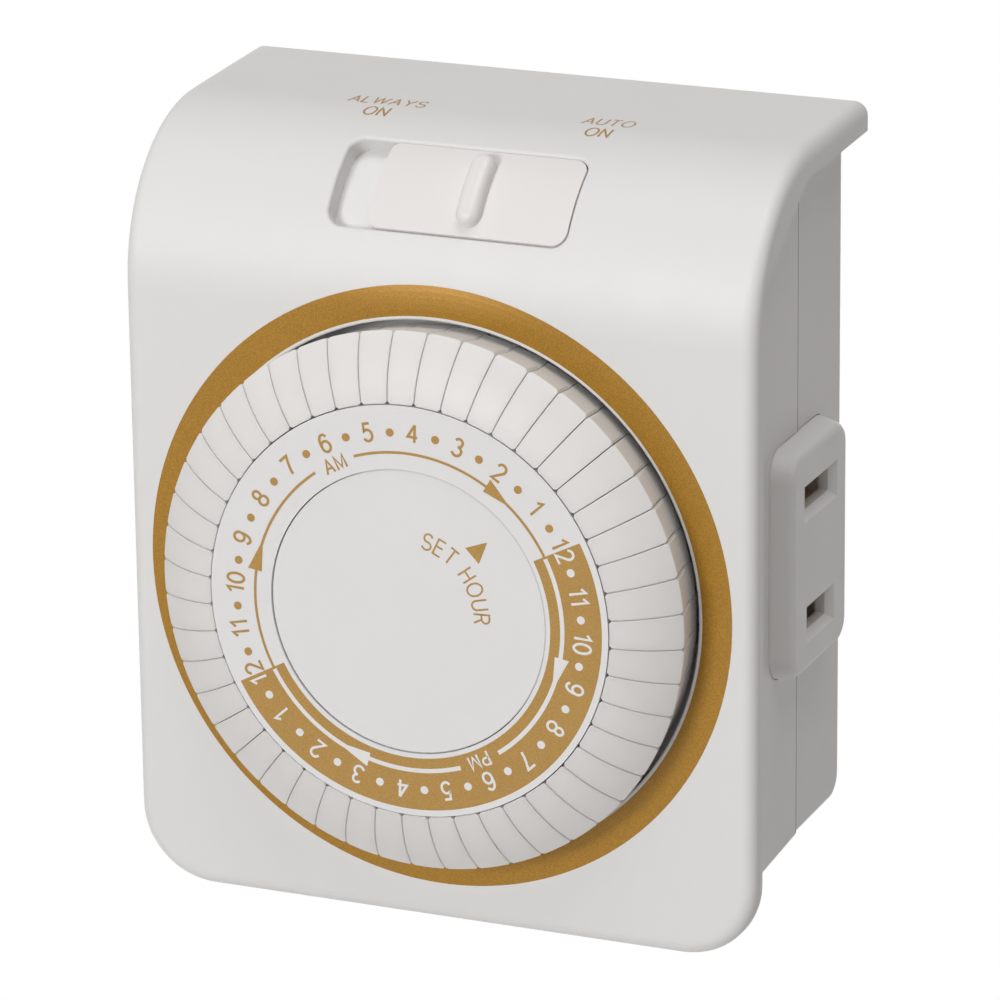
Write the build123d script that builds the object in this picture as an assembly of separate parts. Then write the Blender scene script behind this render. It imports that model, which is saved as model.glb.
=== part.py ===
from build123d import *
import os
from math import acos, asin, cos, degrees, pi, radians, sin, sqrt, tan

# Plug-in 24-hour timer switch, in millimetres.
# Origin: on the flat rear face, midway between the two plug blades.
# +X is to the right of someone facing the dial, +Y goes into the wall outlet, +Z is up.
# "Depth" below is measured back from the front face, and heights and radii from the dial's axis.

# ---------------------------------------------------------------- driving dimensions
DEPTH = 31.5              # front face to rear face
DIAL_Z = -2.0             # height of the dial's axis, which lies a little below the plug
FIT = 0.05                # clearance of a piece in its seat
GAP = 0.2                 # clearance between separate mouldings

# front cover: a face that rolls over into a short roof
WELL_RADIUS = 27.55       # round opening that the dial stands in
WELL_EDGE = 0.15
FACE_MARGIN = 5.85        # face left beside the opening
COVER_WIDTH = 2 * (WELL_RADIUS + FACE_MARGIN)
COVER_BOTTOM = -35.0
COVER_CORNER = 7.9        # radius of the two lower corners
COVER_EDGE = 1.4          # rounding of the outer edge
COVER_WALL = 1.6
ROLL_START = 27.9         # height at which the face starts to roll back
ROLL_RADIUS = 16.4
ROOF_RISE = 2.0           # slope of the roof, degrees
ROOF_END = 31.3           # depth of the roof's rear edge
RIM_DEPTH = 2.1           # side rim behind the face
RIM_WIDTH = 2.3
RIM_TOP = 33.2            # height where the rim leaves the face and follows the roll
RIM_BEND = 14.0           # depth where it turns level under the roof
LIP_HEIGHT = 2.9          # height of the roof's side
RIM_ROUND = 2.5

# housing: two shells that meet at the parting plane
SIDE_STEP = 2.5           # the cover stands out this far beside the housing
HALF_HOUSING = COVER_WIDTH / 2 - SIDE_STEP
HOUSING_WIDTH = 2 * HALF_HOUSING
HOUSING_WALL = 1.8
PARTING = 18.5            # depth of the parting plane
SEAM_WIDTH, SEAM_DEPTH = 0.2, 0.4
FLOOR_FRONT = -29.7       # underside at the front, the parting plane and the rear
FLOOR_PARTING = -28.6
FLOOR_REAR = -28.2
FLOOR_STEP = 0.15         # the rear shell is this much smaller at the parting plane
FLOOR_CORNER = 0.8
REAR_EDGE = 2.5           # rounding of the lower rear edge
REAR_SIDE_EDGE = 0.6
LOWER_SCREW_X, UPPER_SCREW_X = HALF_HOUSING - 4.5, HALF_HOUSING - 6.4
SCREW_PLACES = [(-LOWER_SCREW_X, -24.0), (LOWER_SCREW_X, -24.0),
                (-UPPER_SCREW_X, 31.0), (UPPER_SCREW_X, 31.0)]
SCREW_RADIUS = 1.4
SCREW_HEAD_RADIUS = 2.3
SCREW_HEAD = 2.0
SCREW_SEAT = 25.0         # depth of the shoulder under the screw heads
SCREW_TIP = 6.5
POST_RADIUS = 2.4
POST_FOOT_RADIUS = 3.2
PIN_RADIUS = 1.1          # pins of the cover, staked in the front shell
COVER_PIN_X = HALF_HOUSING - 3.9
COVER_PINS = [(-COVER_PIN_X, -16.5), (COVER_PIN_X, -16.5), (-COVER_PIN_X, 22.0), (COVER_PIN_X, 22.0)]

# dial: a disc on the centre stud, with 48 trippers round it
HOURS = 24
TRIPPERS_PER_HOUR = 2
DIAL_PROUD = 7.3          # number ring in front of the face
TRIPPER_OUTER = WELL_RADIUS + 0.15   # front edge of the trippers, which hides the opening's edge
TRIPPER_FOOT = WELL_RADIUS - 0.8     # their outer end inside the opening
TRIPPER_LENGTH = 6.55                # of a tripper's front face, towards the dial's axis
NUMBER_OUTER = TRIPPER_OUTER - TRIPPER_LENGTH - 0.1
NUMBER_INNER = 14.6
NUMBER_THICKNESS = 1.5
DRUM_WALL = 1.65
WEB_FRONT = 4.3
FLANGE_FRONT = 4.7
FLANGE_BACK = 5.9
FLANGE_RADIUS = WELL_RADIUS - 0.35
HUB_RADIUS = 6.5
HUB_FRONT = -1.2
HUB_BACK = 10.6
CLIP_DEPTH = 9.45         # groove for the retaining clip
CLIP_THICKNESS = 0.5
CLIP_GROOVE = 0.5
STUD_RADIUS = 2.5
CAP_RADIUS = 14.5
CAP_PROUD = 7.15
CAP_THICKNESS = 1.5
CAP_EDGE = 0.1            # chamfer of the cap's rim
CAP_BOSS_RADIUS = 4.4
CAP_BOSS_BACK = -1.6
POINTER_ANGLE = 44.5      # where the time is read, up from the right-hand side
FIRST_BOUNDARY = 42.3     # edge between two hours at rest, the hour of one in the morning

# trippers
TRIPPER_TRAVEL = 3.0
TRIPPER_BACK = 1.5        # rear of the head when pulled out
TRIPPER_SHOULDER = 4.2    # outer front edge of the head in front of the face
TRIPPER_CROWN = 0.6       # bulge of the front face
TRIPPER_GAP = 0.09        # between neighbours
TRIPPER_EDGE = 0.06       # chamfer of the front face's edges
TRIPPER_CORNER = 0.25     # chamfer of the head's four corners
TAIL_OUTER = TRIPPER_FOOT - 0.95
TAIL_INNER = TAIL_OUTER - 3.3
TAIL_WIDTH = 2.0
TAIL_END = 6.4
BARB = 0.35               # snap barb that stops the tail in its slot

# reduction gears, stub teeth
PRESSURE_ANGLE = 20.0
ADDENDUM = 0.8            # share of the module
DEDENDUM = 1.0
BACKLASH = 0.08
DIAL_TEETH, DIAL_MODULE = 48, 0.6
WHEEL_TEETH, WHEEL_MODULE = 36, 0.5
PINION_TEETH = 12
DIAL_GEAR_FRONT, DIAL_GEAR_BACK = 6.2, 8.6
PIN_ANGLE_1 = 225.0       # direction from the dial's axis to the first wheel
PIN_ANGLE_2 = -20.0       # from the first wheel to the second
PIN_ANGLE_3 = 205.0       # from the second wheel to the motor's pinion
GEAR_PIN_RADIUS = 0.75
WHEEL_THICKNESS = 1.2
WHEEL_1_FRONT = 9.8
WHEEL_2_FRONT = 11.3
PLATE_FRONT = 13.0
PLATE_MARGIN = 2.5        # from the housing's side to the plate's
PLATE_LIFT = 3.5          # from the housing's floor up to the plate
PLATE_TOP = 34.2
PLATE_THICKNESS = 1.5

# motor behind the plate
MOTOR_RADIUS = 13.6
MOTOR_X, MOTOR_Z = MOTOR_RADIUS + 3.5 - HALF_HOUSING, -12.0
MOTOR_LENGTH = 11.2
MOTOR_SHEET = 0.6
MOTOR_SHAFT_RADIUS = 1.0
BOBBIN_RADIUS = MOTOR_RADIUS - MOTOR_SHEET - 0.3
BOBBIN_BORE = 6.4
BOBBIN_FLANGE = 0.9
WINDING_OUTER = 12.1
WINDING_INNER = 7.4
ROTOR_RADIUS = 5.8
ROTOR_SHAFT_RADIUS = 0.75

# plug blades, 12.7 mm apart, the neutral one wider
BLADE_PITCH = 12.7
BLADE_THICKNESS = 1.52
BLADE_LENGTH = 17.0
HOT_WIDTH = 6.35
NEUTRAL_WIDTH = 7.94
BLADE_HOLE = 1.6
BLADE_HOLE_FROM_TIP = 5.1
BAR_THICKNESS = 0.8
BAR_CLEARANCE = 1.3       # behind the neutral bar, inside the rear wall
NEUTRAL_BAR_DEPTH = DEPTH - HOUSING_WALL - BAR_THICKNESS - BAR_CLEARANCE
HOT_BAR_DEPTH = NEUTRAL_BAR_DEPTH - 4.0

# outlet on the right-hand side
OUTLET_DEPTH = 18.65      # middle of the outlet, behind the face
OUTLET_LENGTH = 15.1      # along the depth, at the outer face
OUTLET_HEIGHT = 22.7
OUTLET_CENTRE = 2.3       # above the dial's axis
OUTLET_CORNER = 2.3
OUTLET_DRAFT = 0.65       # each side grows by this towards the housing
OUTLET_PROUD = 2.4
OUTLET_FACE = HALF_HOUSING + OUTLET_PROUD
OUTLET_EDGE = 0.8
OUTLET_FLANGE = 1.2
OUTLET_FLANGE_THICKNESS = 1.2
OUTLET_WALL = 1.8
SLOT_HEIGHT = 2.3
SLOT_NEUTRAL = 8.0
SLOT_HOT = 6.5
SLOT_LEAD_IN = 0.75
CONTACT_WIDTH = 6.0
CONTACT_SHEET = 0.6
CONTACT_ROOT = 17.6
STRIP_LEFT, STRIP_WIDTH = 13.0, 2.6   # strip from the switch down to the hot contact

# mode switch on the roll
SWITCH_ANGLE = 46.0       # round the roll, from the face
RECESS_X = 0.45           # middle of the recess
RECESS_LENGTH = 25.2
RECESS_HEIGHT = 9.85
RECESS_CORNER = 1.6
RECESS_EDGE = 0.35        # rounding of its mouth
RECESS_DEPTH = 2.1
TUB_WALL = 1.2
SLIDER_LENGTH = 20.7
SLIDER_THICKNESS = 1.8
SLIDER_PLAY = 0.1
SLIDER_STOP = 0.4         # from the recess's left end when the slider is over
SLIDER_SUNK = 0.1         # below the cover's surface
SLIDER_CORNER = 1.0       # at the end that shows the recess
RIB_WIDTH = 2.5
RIB_LENGTH = 8.0
RIB_HEIGHT = 1.25
RIB_ROUND = 1.0
STEM_LENGTH, STEM_WIDTH = 3.6, 3.0
CARRIAGE_LENGTH, CARRIAGE_WIDTH, CARRIAGE_THICKNESS = 13.0, 7.6, 1.2
CAM_WIDTH, CAM_REACH = 1.8, 2.0

# follower lever and contacts
LEVER_DEPTH, LEVER_HEIGHT = 10.5, 29.5
LEVER_PIN_RADIUS = 0.9
LEVER_HUB_RADIUS = 2.1
LEVER_LEFT, LEVER_RIGHT = 10.8, 20.2
LEVER_THICKNESS = 1.9
NOSE_RADIUS = 0.9
NOSE_GAP = 0.25
LEAF_DEPTH, LEAF_THICKNESS = 13.2, 0.4
LEAF_ROOT = 33.5
CONTACT_GAP = 1.8
RIVET_RADIUS = 1.5
BASE_FRONT, BASE_THICKNESS = 16.6, 1.8
STRIP_DEPTH = BASE_FRONT + BASE_THICKNESS
EAR_THICKNESS = 1.5

nodes = {}


# ---------------------------------------------------------------- drawing helpers
def front_plane(depth):
    """Plane parallel to the face: x to the right, y up from the dial's axis, seen from the front."""
    return Plane(origin=(0, depth - DEPTH, DIAL_Z), x_dir=(1, 0, 0), z_dir=(0, -1, 0))


def layer(outline, front, back):
    """Straight block of a front-view outline between two depths."""
    return extrude(front_plane(back) * outline, back - front)


def across(profile, left, right):
    """Block of a side-view profile (depth, height) between two X positions."""
    plane = Plane(origin=(left, -DEPTH, DIAL_Z), x_dir=(0, 1, 0), z_dir=(1, 0, 0))
    return extrude(plane * profile, right - left)


def turned(points, x=0, z=0):
    """Solid of revolution of (radius, depth) points about a front-to-back axis."""
    profile = make_face(Polyline(*points, close=True))
    return Pos(x, -DEPTH, DIAL_Z + z) * revolve(profile, Axis.Y)


def disc(radius, front, back, x=0, z=0):
    return layer(Pos(x, z) * Circle(radius), front, back)


def polar(radius, angle):
    return radius * cos(radians(angle)), radius * sin(radians(angle))


def polygon(points):
    return make_face(Polyline(*points, close=True))


def one_node(solids):
    """Several separate solids kept in one node."""
    return Compound(children=[Solid(s.solid().wrapped) for s in solids])


# ---------------------------------------------------------------- profiles of the case
def roof_height(depth, inset=0.0):
    """Height of the roof at a depth, for a profile moved inwards by inset."""
    radius = ROLL_RADIUS - inset
    start = ROLL_RADIUS - radius * sin(radians(ROOF_RISE))
    return ROLL_START + radius * cos(radians(ROOF_RISE)) + (depth - start) * tan(radians(ROOF_RISE))


def case_profile(inset, floor_front, floor_back, back, end_height=None):
    """Side view of everything behind the face, the roll and the roof, moved inwards by inset."""
    radius = ROLL_RADIUS - inset
    top = roof_height(back, inset) if end_height is None else end_height
    roll = CenterArc((ROLL_RADIUS, ROLL_START), radius, 180, ROOF_RISE - 90)
    edges = [
        Line((inset, floor_front), (inset, ROLL_START)),
        roll,
        Line(roll @ 1, (back, top)),
        Line((back, top), (back, floor_back)),
        Line((back, floor_back), (inset, floor_front)),
    ]
    return make_face(Curve() + edges)


def cover_outline(inset):
    """Front view of the cover, moved inwards by inset: square at the top, round at the bottom."""
    half, corner = COVER_WIDTH / 2 - inset, COVER_CORNER - inset
    bottom, top = COVER_BOTTOM + inset, ROLL_START + 2 * ROLL_RADIUS
    block = Pos(0, (top + bottom) / 2) * Rectangle(2 * half, top - bottom)
    return fillet(block.vertices().group_by(Axis.Y)[0], corner)


# ---------------------------------------------------------------- mode switch positions
ROLL_AXIS = (ROLL_RADIUS, ROLL_START)
SLIDER_TRAVEL = RECESS_LENGTH - SLIDER_LENGTH - SLIDER_PLAY - SLIDER_STOP
SLIDER_X = RECESS_X + RECESS_LENGTH / 2 - SLIDER_PLAY - SLIDER_LENGTH / 2
FLOOR_RADIUS = ROLL_RADIUS - RECESS_DEPTH
TUB_RADIUS = FLOOR_RADIUS - TUB_WALL


def switch_plane(height=0.0):
    """Plane square to the roll at the switch, height above its surface: x right, y up the roll."""
    reach = ROLL_RADIUS + height
    y = ROLL_AXIS[0] - reach * cos(radians(SWITCH_ANGLE)) - DEPTH
    z = ROLL_AXIS[1] + reach * sin(radians(SWITCH_ANGLE)) + DIAL_Z
    normal = (0, -cos(radians(SWITCH_ANGLE)), sin(radians(SWITCH_ANGLE)))
    return Plane(origin=(0, y, z), x_dir=(1, 0, 0), z_dir=normal)


def switch_block(outline, low, high):
    """Block that stands square to the roll at the switch, between two heights over its surface."""
    return extrude(switch_plane(low) * outline, high - low)


def roll_ring(inner, outer):
    """Part of a thick tube round the axis of the roll."""
    half = COVER_WIDTH / 2
    return across(Pos(*ROLL_AXIS) * (Circle(outer) - Circle(inner)), -half, half)


# ---------------------------------------------------------------- case
def front_cover():
    half = COVER_WIDTH / 2
    body = across(case_profile(0, COVER_BOTTOM, COVER_BOTTOM, ROOF_END), -half, half)
    body &= layer(cover_outline(0), -1, ROOF_END + 1)
    face_y = -DEPTH
    join_z = ROLL_START + DIAL_Z

    def is_outer_edge(edge):
        c = edge.center()
        on_face = abs(c.Y - face_y) < 0.01 and abs(c.Z - join_z) > 0.01
        on_side = abs(abs(c.X) - half) < 0.01 and c.Z > join_z and c.Y < ROOF_END - DEPTH - 0.01
        return on_face or on_side

    body = fillet(body.edges().filter_by(is_outer_edge), COVER_EDGE)
    behind_wall = across(case_profile(COVER_WALL, COVER_BOTTOM - 5, COVER_BOTTOM - 5, DEPTH + 1),
                         -half - 1, half + 1)
    hollow = behind_wall & layer(cover_outline(RIM_WIDTH), 0, DEPTH + 1)
    body = body - hollow - (across(side_opening(), -half - 1, half + 1) & behind_wall)
    tub = RectangleRounded(RECESS_LENGTH + 2 * TUB_WALL, RECESS_HEIGHT + 2 * TUB_WALL, RECESS_CORNER)
    body += switch_block(Pos(RECESS_X, 0) * tub, -ROLL_RADIUS, 1) & roll_ring(
        TUB_RADIUS, ROLL_RADIUS - COVER_WALL / 2)
    recess = Pos(RECESS_X, 0) * RectangleRounded(RECESS_LENGTH, RECESS_HEIGHT, RECESS_CORNER)
    body -= switch_block(recess, -ROLL_RADIUS, 2) & roll_ring(FLOOR_RADIUS, ROLL_RADIUS + 3)
    body = fillet(recess_mouth(body), RECESS_EDGE)
    slot_length = STEM_LENGTH + SLIDER_TRAVEL + 2 * GAP
    slot = Pos(SLIDER_X - SLIDER_TRAVEL / 2, 0) * Rectangle(slot_length, STEM_WIDTH + 2 * GAP)
    body -= switch_block(slot, -ROLL_RADIUS / 2, 0)
    for x, z in COVER_PINS:
        body += disc(PIN_RADIUS, COVER_WALL - 0.5, COVER_WALL + GAP + HOUSING_WALL + 0.6, x, z)
    body -= turned([(0, -1), (WELL_RADIUS + WELL_EDGE, -1), (WELL_RADIUS + WELL_EDGE, 0),
                    (WELL_RADIUS, WELL_EDGE), (WELL_RADIUS, RIM_DEPTH + 1), (0, RIM_DEPTH + 1)])
    return body


def side_opening():
    """Side view of what the rim leaves open at the sides of the housing."""
    level = roof_height(RIM_BEND) - LIP_HEIGHT
    outline = polygon([(RIM_DEPTH, COVER_BOTTOM - 5), (RIM_DEPTH, RIM_TOP), (RIM_BEND, level),
                       (DEPTH + 1, level + (DEPTH + 1 - RIM_BEND) * tan(radians(ROOF_RISE))),
                       (DEPTH + 1, COVER_BOTTOM - 5)])
    bends = outline.vertices().filter_by(lambda v: RIM_TOP - 0.1 < v.Y and v.X < DEPTH)
    return fillet(bends, RIM_ROUND)


def recess_mouth(cover):
    """Edges where the walls of the recess meet the roll's outer surface."""
    axis_y, axis_z = ROLL_AXIS[0] - DEPTH, ROLL_AXIS[1] + DIAL_Z
    inside = COVER_WIDTH / 2 - 5

    def is_mouth(edge):
        c = edge.center()
        start = edge.position_at(0)
        reach = sqrt((start.Y - axis_y) ** 2 + (start.Z - axis_z) ** 2)
        return abs(reach - ROLL_RADIUS) < 0.01 and abs(c.X) < inside and c.Z > axis_z + 2
    return cover.edges().filter_by(is_mouth)


def outlet_outline(grow):
    """Side view of the outlet's raised block, grown by an amount all round."""
    shape = RectangleRounded(OUTLET_LENGTH + 2 * grow, OUTLET_HEIGHT + 2 * grow, OUTLET_CORNER + grow)
    return Pos(OUTLET_DEPTH, OUTLET_CENTRE) * shape


def shell_blank(front, back, floor_front, floor_back, inset):
    """Solid block of one half of the housing, moved inwards by inset."""
    cover_inset = COVER_WALL + GAP
    half = HOUSING_WIDTH / 2 - inset
    profile = case_profile(cover_inset + inset, floor_front + inset, floor_back + inset, back)
    block = across(profile, -half, half)
    if front > cover_inset:
        block -= across(Pos(front / 2 - 5, 0) * Rectangle(front + 10, 200), -half - 1, half + 1)
    return block


def front_housing():
    floor_front = FLOOR_FRONT
    blank = shell_blank(0, PARTING, floor_front, FLOOR_PARTING, 0)
    corner_z = FLOOR_PARTING + DIAL_Z
    lower = blank.edges().filter_by(lambda e: abs(abs(e.center().X) - HOUSING_WIDTH / 2) < 0.01
                                    and e.center().Z < corner_z + 0.3 and e.length > 5)
    blank = fillet(lower, FLOOR_CORNER)
    blank -= shell_blank(0, PARTING + 1, floor_front, FLOOR_PARTING, HOUSING_WALL)
    for x, z in SCREW_PLACES:
        end = PLATE_FRONT + PLATE_THICKNESS if (x > 0 and z > 0) else PLATE_FRONT
        post = disc(POST_RADIUS, COVER_WALL + GAP + 1, end, x, z)
        if z > 0:
            post &= shell_blank(0, PARTING, floor_front, FLOOR_PARTING, HOUSING_WALL / 2)
        blank += post
        blank -= disc(SCREW_RADIUS + FIT, SCREW_TIP - 0.5, PARTING, x, z)
    blank -= disc(WELL_RADIUS, 0, PARTING)
    for x, z in COVER_PINS:
        blank -= disc(PIN_RADIUS + FIT, 0, PARTING, x, z)
    window = Rectangle(RECESS_LENGTH + 2 * TUB_WALL + 2 * GAP, RECESS_HEIGHT + 2 * TUB_WALL + 2 * GAP)
    blank -= switch_block(Pos(RECESS_X, 0) * window, -ROLL_RADIUS / 2, 2)
    blank -= across(outlet_outline(OUTLET_DRAFT + GAP / 2), HOUSING_WIDTH / 2 - 4, HOUSING_WIDTH)
    return blank


def rear_housing():
    floor_front, floor_rear = FLOOR_PARTING + FLOOR_STEP, FLOOR_REAR
    half = HOUSING_WIDTH / 2 - FLOOR_STEP
    blank = shell_blank(PARTING, DEPTH, floor_front, floor_rear, 0)
    blank &= layer(Rectangle(2 * half, 200), 0, DEPTH)
    rear_bottom = blank.edges().filter_by(Axis.X).group_by(Axis.Y)[-1].sort_by(Axis.Z)[0]
    blank = fillet(rear_bottom, REAR_EDGE)
    side_edges = blank.edges().filter_by(lambda e: abs(e.center().Y) < 0.01 and e.length > 40
                                         and abs(e.center().X) > half - 1)
    blank = fillet(side_edges, REAR_SIDE_EDGE)
    hollow = shell_blank(0, DEPTH - HOUSING_WALL, floor_front, floor_rear, HOUSING_WALL)
    hollow &= layer(Rectangle(2 * (half - HOUSING_WALL), 200), PARTING - 1, DEPTH)
    blank -= hollow
    beside_seam = Rectangle(HOUSING_WIDTH + 1, 200) - Rectangle(2 * (half - SEAM_DEPTH), 200)
    blank -= layer(beside_seam, PARTING - 1, PARTING + SEAM_WIDTH)
    inside = shell_blank(0, DEPTH, FLOOR_FRONT, floor_rear, HOUSING_WALL / 2)
    for x, z in SCREW_PLACES:
        foot = disc(POST_FOOT_RADIUS, PARTING, DEPTH - 1, x, z) & inside
        blank += foot + disc(POST_RADIUS, PLATE_FRONT + PLATE_THICKNESS, PARTING + 1, x, z)
        blank -= disc(SCREW_RADIUS + FIT + 0.1, PLATE_FRONT, DEPTH, x, z)
        blank -= disc(SCREW_HEAD_RADIUS + GAP, SCREW_SEAT, DEPTH + 1, x, z)
    for x, width in ((-BLADE_PITCH / 2, NEUTRAL_WIDTH), (BLADE_PITCH / 2, HOT_WIDTH)):
        blank -= Pos(x, 0, 0) * Box(BLADE_THICKNESS + 2 * FIT, 3 * HOUSING_WALL, width + 2 * FIT)
    blank -= across(outlet_outline(OUTLET_DRAFT + GAP / 2), HOUSING_WIDTH / 2 - 4, HOUSING_WIDTH)
    return blank


def housing_screws():
    def screw(x, z):
        head = disc(SCREW_HEAD_RADIUS, SCREW_SEAT + FIT, SCREW_SEAT + SCREW_HEAD, x, z)
        head -= disc(SCREW_HEAD_RADIUS / 2.6, SCREW_SEAT + SCREW_HEAD / 2, SCREW_SEAT + SCREW_HEAD, x, z)
        return head + disc(SCREW_RADIUS, SCREW_TIP, SCREW_SEAT + 1, x, z)
    return one_node([screw(x, z) for x, z in SCREW_PLACES])


# ---------------------------------------------------------------- dial
def dial_ring():
    proud, groove = -DIAL_PROUD, HUB_RADIUS - CLIP_GROOVE
    bore = STUD_RADIUS + FIT
    drum = NUMBER_OUTER - DRUM_WALL
    ring = turned([
        (NUMBER_INNER, proud), (NUMBER_OUTER, proud), (NUMBER_OUTER, FLANGE_FRONT),
        (FLANGE_RADIUS, FLANGE_FRONT), (FLANGE_RADIUS, FLANGE_BACK), (HUB_RADIUS, FLANGE_BACK),
        (HUB_RADIUS, CLIP_DEPTH), (groove, CLIP_DEPTH),
        (groove, CLIP_DEPTH + CLIP_THICKNESS + FIT), (HUB_RADIUS, CLIP_DEPTH + CLIP_THICKNESS + FIT),
        (HUB_RADIUS, HUB_BACK), (bore, HUB_BACK), (bore, HUB_FRONT), (HUB_RADIUS - 1, HUB_FRONT),
        (HUB_RADIUS - 1, WEB_FRONT), (drum, WEB_FRONT), (drum, proud + NUMBER_THICKNESS),
        (NUMBER_INNER, proud + NUMBER_THICKNESS)])
    middle = (TAIL_INNER + TAIL_OUTER) / 2
    slot = Pos(middle, 0) * Rectangle(TAIL_OUTER - TAIL_INNER + 2 * FIT, TAIL_WIDTH + 2 * FIT)
    slots = Sketch() + [Rot(0, 0, tripper_angle(i)) * slot for i in range(HOURS * TRIPPERS_PER_HOUR)]
    return ring - layer(slots, FLANGE_FRONT - 0.2, FLANGE_BACK + 0.2)


def tripper_angle(index):
    pitch = 360 / (HOURS * TRIPPERS_PER_HOUR)
    return FIRST_BOUNDARY + (index + 0.5) * pitch


def tripper():
    """One tripper, pulled out, pointing along +X from the dial's axis."""
    pitch = 360 / (HOURS * TRIPPERS_PER_HOUR)
    inner = TRIPPER_OUTER - TRIPPER_LENGTH
    spread = pitch - degrees(TRIPPER_GAP / TRIPPER_OUTER)
    top, shoulder = (inner, -DIAL_PROUD), (TRIPPER_OUTER, -TRIPPER_SHOULDER)
    crown = ((inner + TRIPPER_OUTER) / 2, -(DIAL_PROUD + TRIPPER_SHOULDER) / 2 - TRIPPER_CROWN)
    foot = (TRIPPER_FOOT, 0)
    profile = make_face(Curve() + [
        ThreePointArc(top, crown, shoulder), Line(shoulder, foot), Line(foot, (TRIPPER_FOOT, TRIPPER_BACK)),
        Line((TRIPPER_FOOT, TRIPPER_BACK), (inner, TRIPPER_BACK)), Line((inner, TRIPPER_BACK), top)])
    head = Rot(0, -spread / 2, 0) * revolve(profile, Axis.Y, spread)
    corners = head.edges().filter_by(lambda e: abs((e @ 1 - e @ 0).Y) > TRIPPER_SHOULDER * 0.9
                                     and abs(e.center().Z) > 0.5)
    corners = corners.filter_by(lambda e: not top[0] + 0.5 < e.center().X < TRIPPER_FOOT - 1)
    head = chamfer(corners, TRIPPER_CORNER)
    front = head.faces().sort_by(Axis.Y)[0]
    head = chamfer(front.edges(), TRIPPER_EDGE)
    tail_length = TAIL_END - TRIPPER_BACK
    tail = Pos((TAIL_INNER + TAIL_OUTER) / 2, TRIPPER_BACK + tail_length / 2, 0) * Box(
        TAIL_OUTER - TAIL_INNER, tail_length, TAIL_WIDTH)
    barb = polygon([(TAIL_OUTER - 0.2, FLANGE_BACK + 0.1), (TAIL_OUTER + BARB, FLANGE_BACK + 0.1),
                    (TAIL_OUTER, TAIL_END), (TAIL_OUTER - 0.2, TAIL_END)])
    barb = Pos(0, 0, -TAIL_WIDTH / 2) * extrude(barb, TAIL_WIDTH)
    return head + tail + barb


def hour_trippers(hour, blank):
    """The two trippers of one hour."""
    pair = []
    for i in range(TRIPPERS_PER_HOUR):
        angle = tripper_angle(TRIPPERS_PER_HOUR * hour + i)
        pair.append(Pos(0, -DEPTH, DIAL_Z) * Rot(0, -angle, 0) * blank)
    return one_node(pair)


def dial_cap():
    return turned([(0, -CAP_PROUD), (CAP_RADIUS - CAP_EDGE, -CAP_PROUD), (CAP_RADIUS, -CAP_PROUD + CAP_EDGE),
                   (CAP_RADIUS, -CAP_PROUD + CAP_THICKNESS),
                   (CAP_BOSS_RADIUS, -CAP_PROUD + CAP_THICKNESS), (CAP_BOSS_RADIUS, CAP_BOSS_BACK),
                   (STUD_RADIUS + FIT / 2, CAP_BOSS_BACK),
                   (STUD_RADIUS + FIT / 2, -CAP_PROUD + CAP_THICKNESS), (0, -CAP_PROUD + CAP_THICKNESS)])


def centre_stud():
    plate_back = PLATE_FRONT + PLATE_THICKNESS
    tip = -CAP_PROUD + CAP_THICKNESS + FIT
    collar = STUD_RADIUS + 1.6
    return turned([(0, tip), (STUD_RADIUS - 0.3, tip), (STUD_RADIUS, tip + 0.3),
                   (STUD_RADIUS, HUB_BACK + FIT), (collar, HUB_BACK + FIT), (collar, PLATE_FRONT),
                   (STUD_RADIUS, PLATE_FRONT), (STUD_RADIUS, plate_back), (collar, plate_back),
                   (collar, plate_back + 0.8), (0, plate_back + 0.8)])


def clutch_spring():
    """Dished washer that presses the dial gear against the dial's web."""
    inner, outer, sheet = HUB_RADIUS + 0.1, HUB_RADIUS + 3.4, 0.35
    return turned([(inner, CLIP_DEPTH - sheet), (outer, DIAL_GEAR_BACK), (outer, DIAL_GEAR_BACK + sheet),
                   (inner, CLIP_DEPTH)])


def hub_clip():
    ring = Circle(HUB_RADIUS + 1.4) - Circle(HUB_RADIUS - CLIP_GROOVE + FIT)
    ring -= Pos(0, -HUB_RADIUS) * Rectangle(7.0, 2.4 * HUB_RADIUS)
    return layer(ring, CLIP_DEPTH + FIT / 2, CLIP_DEPTH + CLIP_THICKNESS)


# ---------------------------------------------------------------- gears
def involute(angle):
    return tan(angle) - angle


def gear_outline(teeth, module, phase):
    """Toothed disc with involute flanks; a tooth is centred on the phase angle, in degrees."""
    pitch_r = teeth * module / 2
    base_r = pitch_r * cos(radians(PRESSURE_ANGLE))
    tip_r = pitch_r + ADDENDUM * module
    root_r = pitch_r - DEDENDUM * module
    half_pitch = pi / (2 * teeth) - BACKLASH / (2 * pitch_r)

    def half_angle(radius):
        radius = max(radius, base_r)
        return half_pitch + involute(radians(PRESSURE_ANGLE)) - involute(acos(base_r / radius))

    flank = [(root_r, half_angle(root_r)), (pitch_r, half_angle(pitch_r)), (tip_r, half_angle(tip_r))]
    points = []
    for tooth in range(teeth):
        middle = phase + 360 * tooth / teeth
        points += [polar(r, middle - degrees(a)) for r, a in flank]
        points += [polar(r, middle + degrees(a)) for r, a in reversed(flank)]
    return polygon(points)


def meshing_phase(teeth, driver_teeth, driver_phase, direction):
    """Phase of a gear that lies in a direction from its driver, with tooth and gap in line."""
    driver_share = (driver_phase - direction) * driver_teeth / 360
    return direction + 180 + (0.5 - driver_share) * 360 / teeth


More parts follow.
